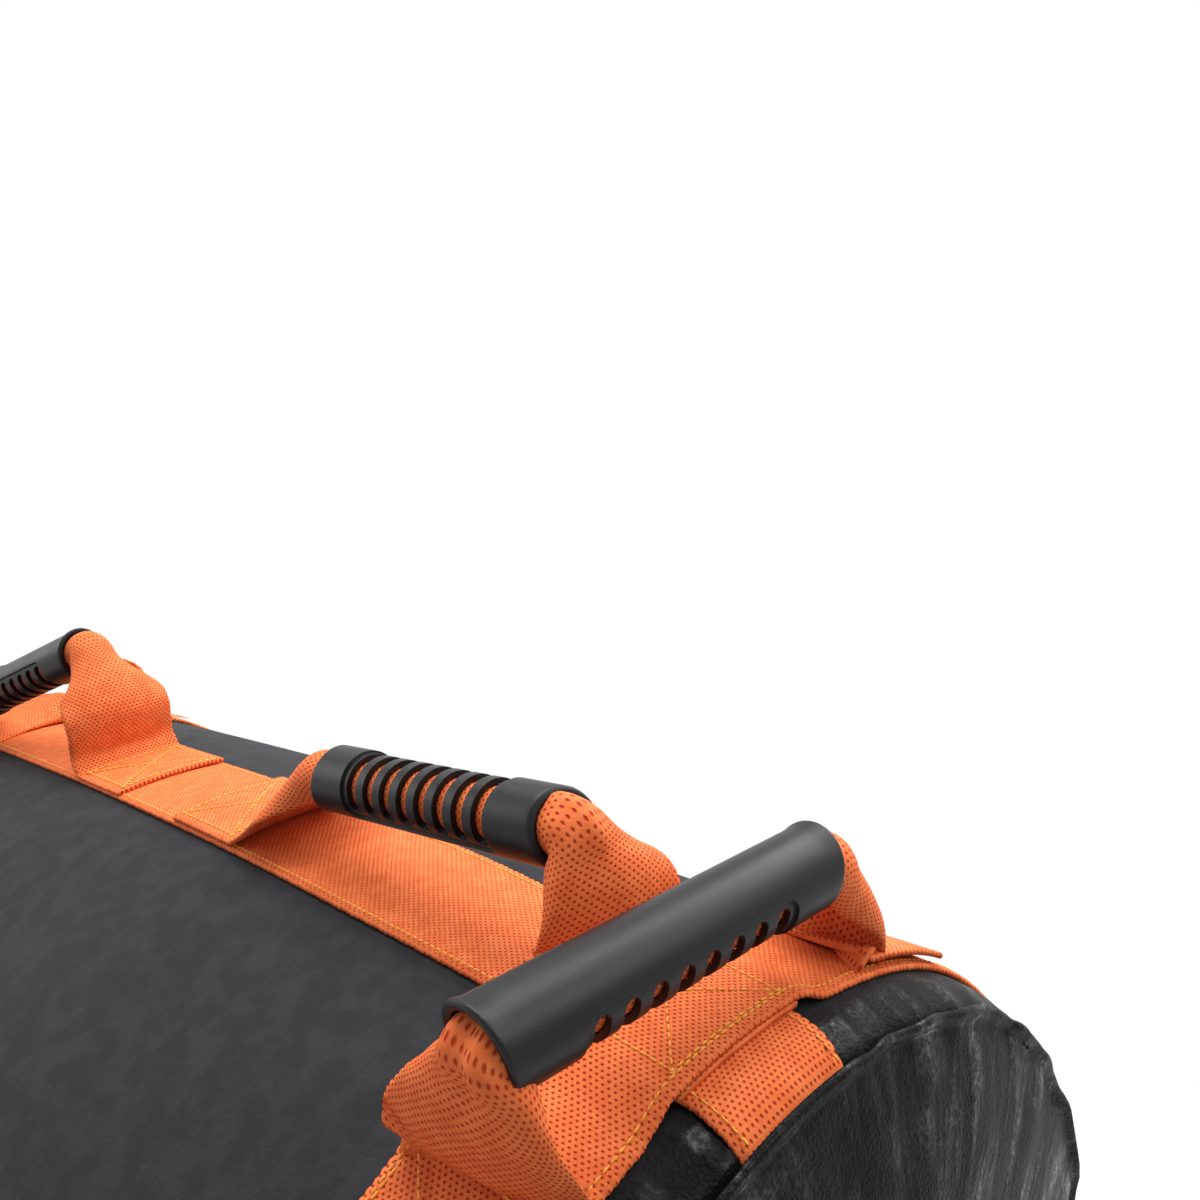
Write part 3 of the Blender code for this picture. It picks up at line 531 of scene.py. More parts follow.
for side, label in ENDS:
    cap = make_cap(f"cap_{label}", side)
    dress(cap, leather, "bag")
    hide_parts(f"end_cap_{label}")

# Webbing straps: thick orange webbing, coarse as a waffle, with scalloped edges. One runs along the top
# from seam to seam and one goes round each end over it; all three are sewn down along their edges.
PICK_ACROSS = 0.0020
PICK_ALONG = 0.0013
EDGE_STEP = 0.00075
EDGE_FROM = 0.024
STRAP_RAMP = 0.018
INNER_GAP = 0.0006

webbing = Finish("webbing", (0.92, 0.20, 0.048), 0.8, specular=0.20)


def weave(finish, pick_across, pick_along, size=0.205):
    """A coarse weave on the UV map: 1 on the yarn, 0 in the pits between four picks."""
    spread = finish.step("ShaderNodeSeparateXYZ", {}, {0: finish.step("ShaderNodeTexCoord", out=2)})
    sway = (finish.noise(260.0, 1.0) - 0.5) * 0.30
    row = Amount(finish, spread.socket.node.outputs[1]) * (1.0 / pick_along) + sway
    stagger = row.maths("FLOOR").maths("MODULO", 2.0).maths("ABSOLUTE") * 0.5
    across = (spread * (1.0 / pick_across) + stagger + sway).maths("FRACT") - 0.5
    along = row.maths("FRACT") - 0.5
    reach = across * across + along * along * 0.8
    return reach.maths("SQRT").between(size * 0.35, size * 1.5)


yarn = weave(webbing, PICK_ACROSS, PICK_ALONG)
fibre = webbing.noise(3200.0, 2.0, 0.6)
uneven = webbing.noise(160.0, 3.0, 0.6)
lit_yarn = webbing.mixed(uneven.between(0.3, 0.7), (0.70, 0.135, 0.032, 1.0), (0.79, 0.185, 0.051, 1.0))
# The pits between the picks are painted a dark red: painted shade in the weave's hollows. The yarn keeps its
# own orange, which varies at random.
webbing.wear("Base Color", webbing.mixed(yarn, (0.50, 0.036, 0.008, 1.0), lit_yarn))
webbing.wear("Roughness", 0.86 - yarn * 0.14)
webbing.wear("Normal", webbing.emboss(yarn + fibre * 0.20, 0.00055, 0.9))


def strap_section(width=WEB_WIDTH, fine=0.0045):
    """Places across a strap and its height shares, once round: over the top, under and back."""
    top = spaced(-width / 2 + 0.0006, width / 2 - 0.0006, fine)
    across = np.concatenate([top, [width / 2], top[::-1], [-width / 2]])
    height = np.concatenate([np.ones(len(top)), [0.5], np.zeros(len(top)), [0.5]])
    return across, height


def scallop(along):
    """How far each pick stands out of the strap's edge."""
    return 0.00022 * np.sin(2 * math.pi * along / (2 * PICK_ALONG)) + 0.0001 * np.sin(along * 700.0)


def scalloped(across, along):
    """Places across a strap, with the picks standing out of both its edges."""
    return across + np.sign(across) * (np.abs(across) > EDGE_FROM) * scallop(along)[:, None]


def make_long_strap():
    """The strap along the crest, whose ends dip into the end seams."""
    across, height = strap_section()
    along = spaced(-SEAM_X, SEAM_X, EDGE_STEP)
    x, run = np.meshgrid(along, across, indexing="ij")
    run = scalloped(run, along)
    dip = np.exp(-((SEAM_X - np.abs(x)) / 0.0035) ** 2)
    lift = GAP + height * WEB_THICKNESS - dip * 0.0030
    return surface("strap_long", skin_places(x, run, lift), np.append(across, across[0]), along,
                   around=True, capped=True)


def crossing_rise(run):
    """The cross strap climbs over the long strap and the handle's foot that is sewn on it."""
    return GAP + 2 * LAYER * (1.0 - smooth_step((np.abs(run) - WEB_WIDTH / 2 - INNER_GAP) / STRAP_RAMP))


def make_cross_strap(name, side):
    """A strap round the girth, over the long strap."""
    across, height = strap_section()
    along = spaced(-HALF_GIRTH, HALF_GIRTH, EDGE_STEP)[:-1]
    run, wide = np.meshgrid(along, across * side, indexing="ij")
    wide = scalloped(wide, along)
    lift = crossing_rise(run) + height * WEB_THICKNESS
    places = skin_places(side * CROSS_X + wide, run, lift)
    return surface(name, places, np.append(across, across[0]), np.append(along, HALF_GIRTH),
                   around=True, looped=True)


long_strap = make_long_strap()
dress(long_strap, webbing, "bag")
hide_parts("long_strap")
2 * SEAM_X
for side, label in ENDS:
    strap = make_cross_strap(f"strap_cross_{label}", side)
    dress(strap, webbing, "bag")
    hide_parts(f"cross_strap_{label}")

# Handles: one length of the same webbing for each. It is sewn flat on the strap at both ends, turns up
# and over its own foot in a loose fold, is gathered into a tube and goes through the moulded grip.
HALF_SPAN = 0.064
PATCH_LENGTH = 0.047
GRIP_LENGTH = 0.120
CROWN_RADIUS = 0.184

# The middle line of each leg, from its fold to the grip, in millimetres off the swing axis: outwards
# along the handle, sideways and up; then how far the band is curled, in radians
LEGS = {
    ("handle_1", -1): [(71, -2, -12, 0.9), (84, -9, -10, 1.6), (94, -18, -7, 2.6), (92, -25, -3.5, 4.4)],
    ("handle_1", 1): [(60, 0, -9, 0.4), (62, 0, 0, 0.5), (62.5, 0, 9, 0.9), (56, 0, 20, 2.4),
                      (45, 0, 29.5, 4.6)],
    ("handle_2", -1): [(61, 0, -13, 0.3), (52, 0, -7, 0.7), (38, -2, 3, 1.9), (26, -5, 10.5, 4.4)],
    ("handle_2", 1): [(105.5, 0, -12, 0.3), (110, 0, -10, 0.5), (112.5, -0.5, -4.5, 1.5),
                      (112, -2, 4.5, 2.7), (108.5, -3.5, 13, 3.9)],
    ("handle_3", -1): [(66, 0, -12, 0.2), (68, 3.5, -8, 0.9), (70, 7.5, 0, 2.2), (72, 11.5, 10, 3.2),
                       (72, 14, 19, 4.0)],
    ("handle_3", 1): [(67, 0, -13, 0.8), (69.5, 3, -10, 1.8), (67.5, 8.5, -3.5, 3.0),
                      (60.5, 14.5, 4.5, 4.3), (52.5, 18, 13, 5.2)],
    ("handle_4", -1): [(70, -3, -12, 0.5), (79, -14, -7, 1.2), (82, -30, 0, 2.4), (77, -43, 5.5, 4.4)],
    ("handle_4", 1): [(69, -3, -12, 0.5), (74, -14, -7, 1.2), (71, -30, 1, 2.4), (60, -42, 8, 4.4)],
}
# How a leg lies: how deep its middle is pressed in near the grip, in millimetres; the shares of its width
# that lean along the handle and up; how much flatter than a round arc it opens out; how far its fold is
# off its usual place; and how far past the grip's mouth it is still round
PLAIN = {"crease": 0.0, "lean": (0.0, 0.0), "flatness": 0.38, "slip": 0.0, "reach": 0.004}
HABITS = {
    ("handle_2", 1): {"crease": -1.6, "lean": (0.18, 0.0), "slip": 0.038, "reach": 0.0},
    ("handle_3", -1): {"crease": 3.0, "lean": (-0.40, 0.34), "flatness": 0.66, "reach": -0.004},
    ("handle_3", 1): {"reach": 0.001},
}
LEAN_START = 0.012
# The band's curl in radians: inside the grip, and the least that any of it has
TUBE_CURL = 6.0
LEAST_CURL = 0.02
UP = np.array([0.0, 0.0, 1.0])
# The crease's half width, and how much wider a flattened arc spreads
CREASE_WIDTH = 0.0028
SPREAD = 0.35


def through(knots, step):
    """A smooth row of values through the knots; the first three values of each are a place."""
    knots = np.array(knots, float)
    knots = np.concatenate([[2 * knots[0] - knots[1]], knots, [2 * knots[-1] - knots[-2]]])
    row = [knots[1][None, :]]
    for a, b, c, d in zip(knots, knots[1:], knots[2:], knots[3:]):
        spans = [max(np.linalg.norm(q[:3] - p[:3]), 1e-6) ** 0.5 for p, q in ((a, b), (b, c), (c, d))]
        m1 = (b - a) / spans[0] - (c - a) / (spans[0] + spans[1]) + (c - b) / spans[1]
        m2 = (c - b) / spans[1] - (d - b) / (spans[1] + spans[2]) + (d - c) / spans[2]
        m1, m2 = m1 * spans[1], m2 * spans[1]
        count = max(2, int(np.linalg.norm(c[:3] - b[:3]) / step))
        s = np.linspace(0.0, 1.0, count + 1)[1:, None]
        row.append((2 * b - 2 * c + m1 + m2) * s ** 3 + (3 * c - 3 * b - 2 * m1 - m2) * s ** 2 + m1 * s + b)
    return np.concatenate(row)


def fold_run():
    """Run down the cross strap at which its skin lies half a span from the middle."""
    return float(np.interp(HALF_SPAN, SECTION[1][:SECTION_SAMPLES], SECTION[0][:SECTION_SAMPLES]))


def half_handle(name, side):
    """The band's middle line from a foot's sewn end to the middle of the grip.

    Each row is a place, the curl there, how near the grip's mouth it is, 0 on the foot and 1 off it,
    then the crease, the flatness and the two leans."""
    swing, turn = JOINTS[f"{name}_swing"], JOINTS[name.replace("handle", "grip") + "_turn"]
    origin, along = np.array(swing["pos_m"]), np.array(swing["axis"], float)
    centre, way = np.array(turn["pos_m"]), np.array(turn["axis"], float)
    habit = {**PLAIN, **HABITS.get((name, side), {})}
    lift = LAYER + GAP + WEB_THICKNESS / 2
    if along[0]:
        sideways = np.array([0.0, 1.0, 0.0])
        fold_x = origin[0] + side * (HALF_SPAN + habit["slip"])
        end_x = math.copysign(CROSS_OUTER_X, side) if side * origin[0] > 0 else fold_x + side * PATCH_LENGTH
        patch = skin_places(spaced(end_x, fold_x, 0.003), 0.0, lift)
    else:
        sideways = np.array([1.0, 0.0, 0.0])
        end_run = fold_run() + PATCH_LENGTH
        patch = skin_places(origin[0], side * spaced(end_run, fold_run(), 0.003), lift)
    flat_curl = WEB_WIDTH / CROWN_RADIUS if along[0] else 0.0
    mouth = centre + way * side * GRIP_LENGTH / 2
    knots = [[*patch[-1], flat_curl, 0.0]]
    for out, aside, up, curl in LEGS[name, side]:
        place = origin + (along * side * out + sideways * aside + UP * up) / 1000
        knots.append([*place, curl, 0.0])
    knots[-1][4] = 0.6
    inside = mouth + way * side * (habit["reach"] - 0.010)
    knots.append([*(mouth + way * side * habit["reach"]), TUBE_CURL - 0.6, 1.0])
    knots.append([*inside, TUBE_CURL, 0.5])
    leg = through(knots, 0.002)[1:]
    grip = inside + (centre - inside) * np.linspace(0.0, 1.0, 24)[1:, None]
    rest = np.tile([TUBE_CURL, 0.0], (len(grip), 1))
    start = np.tile([flat_curl, 0.0], (len(patch), 1))
    stage = np.concatenate([np.zeros(len(patch)), np.ones(len(leg) + len(grip))])
    rows = np.concatenate([np.hstack([patch, start]), leg, np.hstack([grip, rest])])
    askew, tilt = habit["lean"]
    from_fold = np.linalg.norm(patch - patch[-1], axis=1)
    turned = np.concatenate([np.clip(1.0 - from_fold / LEAN_START, 0.0, 1.0), np.ones(len(leg) + len(grip))])
    form = np.tile([habit["crease"], habit["flatness"]], (len(rows), 1))
    return np.hstack([rows, stage[:, None], form, np.stack([askew * turned, tilt * stage], axis=1)])


def smoothed(rows, weights):
    """Each column of the rows, averaged along its length with these weights."""
    reach = len(weights) // 2
    return np.stack([np.convolve(np.pad(row, reach, mode="edge"), weights, mode="valid")
                     for row in rows.T], axis=1)


def make_webbing(name):
    """The whole length of a handle's webbing, from sewn end to sewn end, as one thick band."""
    along = np.array(JOINTS[f"{name}_swing"]["axis"], float)
    rows = np.concatenate([half_handle(name, -1), half_handle(name, 1)[::-1][1:]])
    length = np.concatenate([[0.0], np.cumsum(np.linalg.norm(np.diff(rows[:, :3], axis=0), axis=1))])
    fine = spaced(0.0, length[-1], EDGE_STEP)
    rows = np.stack([np.interp(fine, length, row) for row in rows.T], axis=1)
    blur = np.exp(-np.linspace(-2.0, 2.0, 9) ** 2)
    blur /= blur.sum()
    rows = smoothed(rows, blur)
    line, bend, near_mouth = rows[:, :3], np.maximum(rows[:, 3:4], LEAST_CURL), rows[:, 4:5]
    stage, crease, flatness = rows[:, 5:6], rows[:, 6:7], rows[:, 7:8]
    lean = smoothed(rows[:, 8:10] * np.clip((4.4 - bend) / 3.0, 0.0, 1.0), np.full(17, 1 / 17))
    heading = np.gradient(line, axis=0)
    heading /= np.linalg.norm(heading, axis=1, keepdims=True)
    flat = np.cross(UP, along)[None, :] + lean[:, :1] * along + lean[:, 1:] * UP
    flat = flat - heading * (heading * flat).sum(axis=1, keepdims=True)
    flat /= np.linalg.norm(flat, axis=1, keepdims=True)
    normal = np.cross(heading, flat)
    across, height = strap_section(fine=0.0018)
    gather = np.interp(bend, [3.0, 6.05], [1.0, 0.88])
    wide = scalloped(across[None, :], fine) * gather
    turn = bend * wide / (WEB_WIDTH * gather)
    radius = WEB_WIDTH * gather / bend
    depth = radius * (1.0 - np.cos(np.minimum(bend / 2, math.pi)))
    press = 1.0 - flatness * np.sin(np.clip((bend - 0.5) / 5.0, 0.0, 1.0) * math.pi)
    thick = (height[None, :] - 0.5) * WEB_THICKNESS
    sideways = radius * np.sin(turn) * (1.0 + SPREAD * (1.0 - press)) + thick * np.sin(turn)
    out = (radius * (np.cos(turn) - 1.0) + depth / 2 * np.minimum(stage, 1.0)) * press + thick * np.cos(turn)
    out = out - crease / 1000 * near_mouth * np.exp(-(wide / CREASE_WIDTH) ** 2)
    places = line[:, None, :] + flat[:, None, :] * sideways[..., None] + normal[:, None, :] * out[..., None]
    return surface(name + "_webbing", places, np.append(across, across[0]), fine, around=True,
                   capped=True), float(fine[-1])


for number in (1, 2, 3, 4):
    handle = f"handle_{number}"
    band, length = make_webbing(handle)
    feet = ("left", "right") if number < 3 else ("front", "back")
    paint(band, webbing)
    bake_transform(band)
    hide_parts(f"{handle}_loop", *(f"{handle}_foot_{foot}" for foot in feet))

# Grips: a tube moulded in black plastic round each handle's webbing. The palm side is smooth from end
# to end; the finger side has a sunk panel with eight slots, through which the webbing shows.
GRIP_RADIUS = 0.0115
PANEL_RADIUS = 0.0106
BORE_RADIUS = 0.0088
END_SLANT = 0.006
END_FLARE = 0.0009
COLLAR_LENGTH = 0.0235
PANEL_TOP = 0.0022
PANEL_CORNER = 0.0045
SLOT_COUNT = 8
SLOT_PITCH = 0.0090
SLOT_WIDTH = 0.0050
SLOT_TOP = 0.0002
GRIP_SIDES = 72
EDGE_ROUND = 0.0014
LIP = 0.0008
SLANT_REACH = 0.016
FLARE_REACH = 0.004
GRIP_TURNS = {1: -10.0, 2: -145.0, 3: 0.0, 4: 60.0}

plastic = Finish("moulded_plastic", (0.0055, 0.0055, 0.0062), 0.40, specular=0.22)
pitted = plastic.noise(2600.0, 2.0, 0.6)
smeared = plastic.noise(60.0, 3.0, 0.5)
plastic.wear("Roughness", 0.30 + smeared * 0.16)
eased = plastic.step("ShaderNodeBevel", {"samples": 6}, {"Radius": 0.0005})
plastic.wear("Normal", plastic.emboss(pitted, 0.00008, 0.7, eased))


def lathe(profile, sides):
    """A closed ring turned about the X axis from a profile of x and radius."""
    turn = 2 * math.pi * np.arange(sides) / sides
    shape = bmesh.new()
    rows = [[shape.verts.new((x, r * math.cos(a), r * math.sin(a))) for a in turn] for x, r in profile]
    for first, second in zip(rows, rows[1:] + rows[:1]):
        for index in range(sides):
            after = (index + 1) % sides
            shape.faces.new([first[index], first[after], second[after], second[index]])
    return shape


def prism(outline, half_depth):
    """A solid drawn out along Y from an outline of x and z."""
    shape = bmesh.new()
    near = [shape.verts.new((x, -half_depth, z)) for x, z in outline]
    far = [shape.verts.new((x, half_depth, z)) for x, z in outline]
    shape.faces.new(near)
    shape.faces.new(far[::-1])
    for index in range(len(near)):
        after = (index + 1) % len(near)
        shape.faces.new([near[index], far[index], far[after], near[after]])
    return shape


def arch(centre, half_width, top, corner, floor):
    """An outline that stands on a floor and has two rounded upper corners."""
    turn = np.linspace(0.0, math.pi / 2, 9)
    upper = [(half_width - corner + corner * math.cos(a), top - corner + corner * math.sin(a)) for a in turn]
    points = [(half_width, floor)] + upper + [(-x, z) for x, z in upper[::-1]] + [(-half_width, floor)]
    return [(centre + x, z) for x, z in points]


def solid(name, shape):
    """An object made of a shape, with its faces outwards."""
    mesh = bpy.data.meshes.new(name)
    write(shape, mesh)
    return link(name, mesh)


def settle(piece):
    """Work a piece's modifiers into a plain mesh."""
    bpy.context.view_layer.update()
    made = bpy.data.meshes.new_from_object(piece.evaluated_get(bpy.context.evaluated_depsgraph_get()))
    piece.modifiers.clear()
    piece.data = made


def cut(body, *cutters):
    """Take the cutters out of a body, exactly."""
    for cutter in cutters:
        step = body.modifiers.new("cut", "BOOLEAN")
        step.solver = "EXACT"
        step.operation = "DIFFERENCE"
        step.object = cutter
    settle(body)
    for cutter in cutters:
        bpy.data.objects.remove(cutter)
    return body


def make_grip_mesh():
    """One grip along X with its slots towards -Z and its mouths cut on a slant."""
    half = GRIP_LENGTH / 2
    edge = [(half - EDGE_ROUND * (1.0 - math.sin(a)), GRIP_RADIUS - EDGE_ROUND * (1.0 - math.cos(a)))
            for a in np.linspace(math.pi / 2, 0.0, 6)]
    spans = [(x, GRIP_RADIUS) for x in spaced(half - FLARE_REACH, -half + FLARE_REACH, 0.004)]
    lip = [(half, BORE_RADIUS + LIP), (half - LIP, BORE_RADIUS)]
    profile = edge + spans + [(-x, r) for x, r in edge[::-1]]
    profile += [(-x, r) for x, r in lip] + [(x, r) for x, r in lip[::-1]]
    body = solid("grip_body", lathe(profile, GRIP_SIDES))
    floor = -2 * GRIP_RADIUS
    half_panel = half - COLLAR_LENGTH
    panel = solid("panel", prism(arch(0.0, half_panel, PANEL_TOP, PANEL_CORNER, floor), 2 * GRIP_RADIUS))
    core = solid("core", lathe([(half, PANEL_RADIUS), (-half, PANEL_RADIUS), (-half, 0.0001), (half, 0.0001)],
                               GRIP_SIDES))
    panel = cut(panel, core)
    slots = []
    for index in range(SLOT_COUNT):
        x = (index - (SLOT_COUNT - 1) / 2) * SLOT_PITCH
        outline = arch(x, SLOT_WIDTH / 2, SLOT_TOP, SLOT_WIDTH / 2 - 0.0001, floor)
        slots.append(solid(f"slot_{index}", prism(outline, 2 * GRIP_RADIUS)))
    body = cut(body, panel, *slots)
    mesh = body.data.copy()
    bpy.data.objects.remove(body)
    for vertex in mesh.vertices:
        x, y, z = vertex.co
        past = max(abs(x) - half + SLANT_REACH, 0.0) / SLANT_REACH
        flare = max(abs(x) - half + FLARE_REACH, 0.0) / FLARE_REACH * max(z / GRIP_RADIUS, 0.0) * END_FLARE
        stretch = 1.0 + flare / math.hypot(y, z)
        slant = END_SLANT * past * (1.0 - z / GRIP_RADIUS) / 2
        vertex.co = (x - math.copysign(slant, x), y * stretch, z * stretch)
    return mesh


grip_mesh = make_grip_mesh()
for number in (1, 2, 3, 4):
    turn = JOINTS[f"grip_{number}_turn"]
    along = Vector(turn["axis"]).normalized()
    level_side = Vector((0.0, 0.0, 1.0)).cross(along).normalized()
    frame_of_grip = Matrix((along, level_side, along.cross(level_side))).transposed().to_4x4()
    mesh = grip_mesh.copy()
    mesh.transform(Matrix.Translation(turn["pos_m"]) @ frame_of_grip
                   @ Matrix.Rotation(math.radians(GRIP_TURNS[number]), 4, "X"))
    mesh.shade_smooth()
    mesh.set_sharp_from_angle(angle=math.radians(35.0))
    grip = link(f"grip_{number}_moulding", mesh)
    dress(grip, plastic, f"grip_{number}_tube")
    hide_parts(f"grip_{number}")
bpy.data.meshes.remove(grip_mesh)

# Thread: stout yellow-orange thread in a box with a cross on each foot that shows and at the crossings,
# and in a row along each edge of the straps. The end seams are sewn with thicker black thread.

# Stitches, as their pitch, their length and the thread's radius
STRAP_STITCH = (0.0029, 0.0028, 0.00037)
SEAM_STITCH = (0.0042, 0.0037, 0.0006)

thread = Finish("thread", (0.82, 0.30, 0.045), 0.55)
ply = thread.noise(2200.0, 2.0, 0.5)
two_ply = thread.mixed(ply.between(0.35, 0.65), (0.66, 0.21, 0.018, 1.0), (0.95, 0.43, 0.045, 1.0))
thread.wear("Base Color", two_ply)
thread.wear("Normal", thread.emboss(ply, 0.00015, 0.8))
dark_thread = Finish("thread_black", (0.004, 0.004, 0.004), 0.8, specular=0.1)
dark_thread.wear("Normal", dark_thread.emboss(dark_thread.noise(2400.0, 2.0), 0.00012, 0.8))


def stitch_tree():
    """Geometry nodes: a stitch on each step of a line, laid along it."""
    tree = bpy.data.node_groups.new("stitches", "GeometryNodeTree")
    face = tree.interface
    face.new_socket("Line", in_out="INPUT", socket_type="NodeSocketGeometry")
    for name in ("Pitch", "Stitch length", "Thread radius"):
        face.new_socket(name, in_out="INPUT", socket_type="NodeSocketFloat")
    face.new_socket("Thread", in_out="INPUT", socket_type="NodeSocketMaterial")
    face.new_socket("Stitches", in_out="OUTPUT", socket_type="NodeSocketGeometry")
    made = Recipe(tree)
    given = tree.nodes.new("NodeGroupInput").outputs
    line = made.step("GeometryNodeMeshToCurve", {}, {"Mesh": given["Line"]})
    steps = made.step("GeometryNodeResampleCurve", {"mode": "LENGTH"},
                      {"Curve": line, "Length": given["Pitch"]})
    bead = made.step("GeometryNodeMeshUVSphere", {}, {"Segments": 6, "Rings": 5, "Radius": 1.0})
    half = made.step("ShaderNodeMath", {"operation": "MULTIPLY"}, {0: given["Stitch length"], 1: 0.5})
    size = made.step("ShaderNodeCombineXYZ", {}, {0: half, 1: given["Thread radius"],
                                                  2: given["Thread radius"]})
    stitch = made.step("GeometryNodeTransform", {}, {"Geometry": bead, "Scale": size})
    tangent = made.step("GeometryNodeInputTangent")
    lay = made.step("FunctionNodeAlignRotationToVector", {"axis": "X"}, {"Vector": tangent})
    laid = made.step("GeometryNodeInstanceOnPoints", {},
                     {"Points": steps, "Instance": stitch, "Rotation": lay})
    real = made.step("GeometryNodeRealizeInstances", {}, {"Geometry": laid})
    coated = made.step("GeometryNodeSetMaterial", {}, {"Geometry": real, "Material": given["Thread"]})
    end = tree.nodes.new("NodeGroupOutput")
    made.feed(end.inputs["Stitches"], coated)
    return tree


def with_nodes(piece, tree, values):
    """Run a piece through a tree with the given inputs."""
    step = piece.modifiers.new("nodes", "NODES")
    step.node_group = tree
    for item in tree.interface.items_tree:
        if item.in_out == "INPUT" and item.name in values:
            step[item.identifier] = values[item.name]
    settle(piece)
    piece.data.shade_smooth()
    return piece


def sew(name, lines, body, finish, stitch):
    """Rows of stitches along lines of places, as one piece."""
    mesh = bpy.data.meshes.new(name)
    places, edges = [], []
    for line in lines:
        first = len(places)
        places += [tuple(place) for place in line]
        edges += [(first + index, first + index + 1) for index in range(len(line) - 1)]
    mesh.from_pydata(places, edges, [])
    pitch, length, radius = stitch
    piece = with_nodes(link(name, mesh), STITCHES, {
        "Pitch": pitch, "Stitch length": length, "Thread radius": radius, "Thread": finish.material})
    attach(piece, body)
    return piece


def boxed(low, high):
    """A box with a cross, as lines in a flat plan of along and across."""
    corners = [(low, -BOX_HALF), (high, -BOX_HALF), (high, BOX_HALF), (low, BOX_HALF)]
    lines = list(zip(corners, corners[1:] + corners[:1]))
    return lines + [(corners[0], corners[2]), (corners[1], corners[3])]


def on_skin(plan, at):
    """Lay straight lines of a plan on the bag; at turns along and across into a place."""
    laid = []
    for (a, b), (c, d) in plan:
        count = max(2, int(math.hypot(c - a, d - b) / 0.0022))
        laid.append([at(a + (c - a) * s, b + (d - b) * s) for s in np.linspace(0.0, 1.0, count)])
    return laid


STITCHES = stitch_tree()
BOX_HALF = 0.0205
BOX_START = 0.004
BOX_END = PATCH_LENGTH - 0.003
CROSSING_HALF = 0.0225
CROSS_ROW = 0.0215
LONG_ROW = 0.0222
ON_TOP = 0.00012
SEAM_DEPTH = 0.0024

rows = []
for handle, side in (("handle_1", 1), ("handle_2", -1)):
    fold = JOINTS[f"{handle}_swing"]["pos_m"][0] + side * HALF_SPAN
    plan = boxed(fold + side * BOX_START, fold + side * BOX_END)
    rows += on_skin(plan, lambda x, run: skin_places(x, run, 2 * LAYER + ON_TOP))
for side in (-1, 1):
    for end in (-1, 1):
        plan = boxed(end * (fold_run() + BOX_START), end * (fold_run() + BOX_END))
        rows += on_skin(plan, lambda run, wide: skin_places(side * CROSS_X + wide, run, 2 * LAYER + ON_TOP))
    plan = boxed(-CROSSING_HALF, CROSSING_HALF)
    rows += on_skin(plan, lambda run, wide: skin_places(side * CROSS_X + wide, run, 3 * LAYER + ON_TOP))
    edge_runs = spaced(-HALF_GIRTH, HALF_GIRTH, 0.003)
    lift = crossing_rise(edge_runs) + WEB_THICKNESS + ON_TOP
    for wide in (-CROSS_ROW, CROSS_ROW):
        rows.append(skin_places(side * (CROSS_X + wide), edge_runs, lift))
    for run in (-CROSS_ROW, CROSS_ROW):
        rows.append(skin_places(side * spaced(CROSS_OUTER_X, SEAM_X - 0.002, 0.002), run, LAYER + ON_TOP))
for run in (-LONG_ROW, LONG_ROW):
    rows.append(skin_places(spaced(-CROSS_X + 0.026, CROSS_X - 0.026, 0.004), run, LAYER + 0.00005))
sew("stitches_webbing", rows, "bag", thread, STRAP_STITCH)
for side, label in ENDS:
    places = skin_places(side * (SEAM_X + 0.0002), tube_run, -SEAM_DEPTH)
    places[:, 0] += seam_wave(tube_run) * side
    sew(f"stitches_seam_{label}", [places], "bag", dark_thread, SEAM_STITCH)

# Zip: the filling opening in the back. Black woven tapes with moulded teeth are sewn under the skin's
# turned edges; a metal slider with a pull runs between two stops.
TAPE_WIDTH = 0.016
TAPE_THICKNESS = 0.0008
TAPE_SEWN = 0.012
TEETH_HALF = 0.0028
TOOTH_PITCH = 0.0026
TOOTH_FORM = (TOOTH_PITCH, 0.0019, 0.0013)
ZIP_LIFT = -SHELL_WALL - INNER_GAP - TAPE_THICKNESS
# The stitched frame round the opening: how far off its ends and its sides, and its stitches
FRAME_END = 0.006
FRAME_SIDE = 0.0045
FRAME_LIFT = 0.00015
FRAME_STITCH = (0.0036, 0.0030, 0.00030)

tape_cloth = Finish("zip_tape", (0.018, 0.018, 0.019), 0.85)
tape_yarn = weave(tape_cloth, 0.0008, 0.0008)
tape_cloth.wear("Normal", tape_cloth.emboss(tape_yarn, 0.0002, 0.8))
tooth_plastic = Finish("zip_teeth", (0.025, 0.025, 0.026), 0.35)
tooth_plastic.wear("Roughness", 0.28 + tooth_plastic.noise(300.0) * 0.14)
metal = Finish("zip_metal", (0.40, 0.40, 0.41), 0.35, metallic=1.0)
metal.wear("Roughness", 0.26 + metal.noise(500.0, 3.0, 0.6, (1.0, 6.0, 6.0)) * 0.2)


def make_tape(name, side):
    """One tape: a flat band under the edge of the opening."""
    along = spaced(-half_zip - TAPE_SEWN, half_zip + TAPE_SEWN, 0.004)
    top = ZIP_PLACE + side * spaced(0.0005, TEETH_HALF + TAPE_WIDTH, 0.002)
    across = np.concatenate([top, top[::-1]])
    height = np.concatenate([np.ones(len(top)), np.zeros(len(top))])
    x, run = np.meshgrid(along, across, indexing="ij")
    piece = surface(name, skin_places(x, run, ZIP_LIFT + height * TAPE_THICKNESS),
                    np.append(across, across[0]), along, around=True, capped=True)
    face_outwards(piece)
    return piece


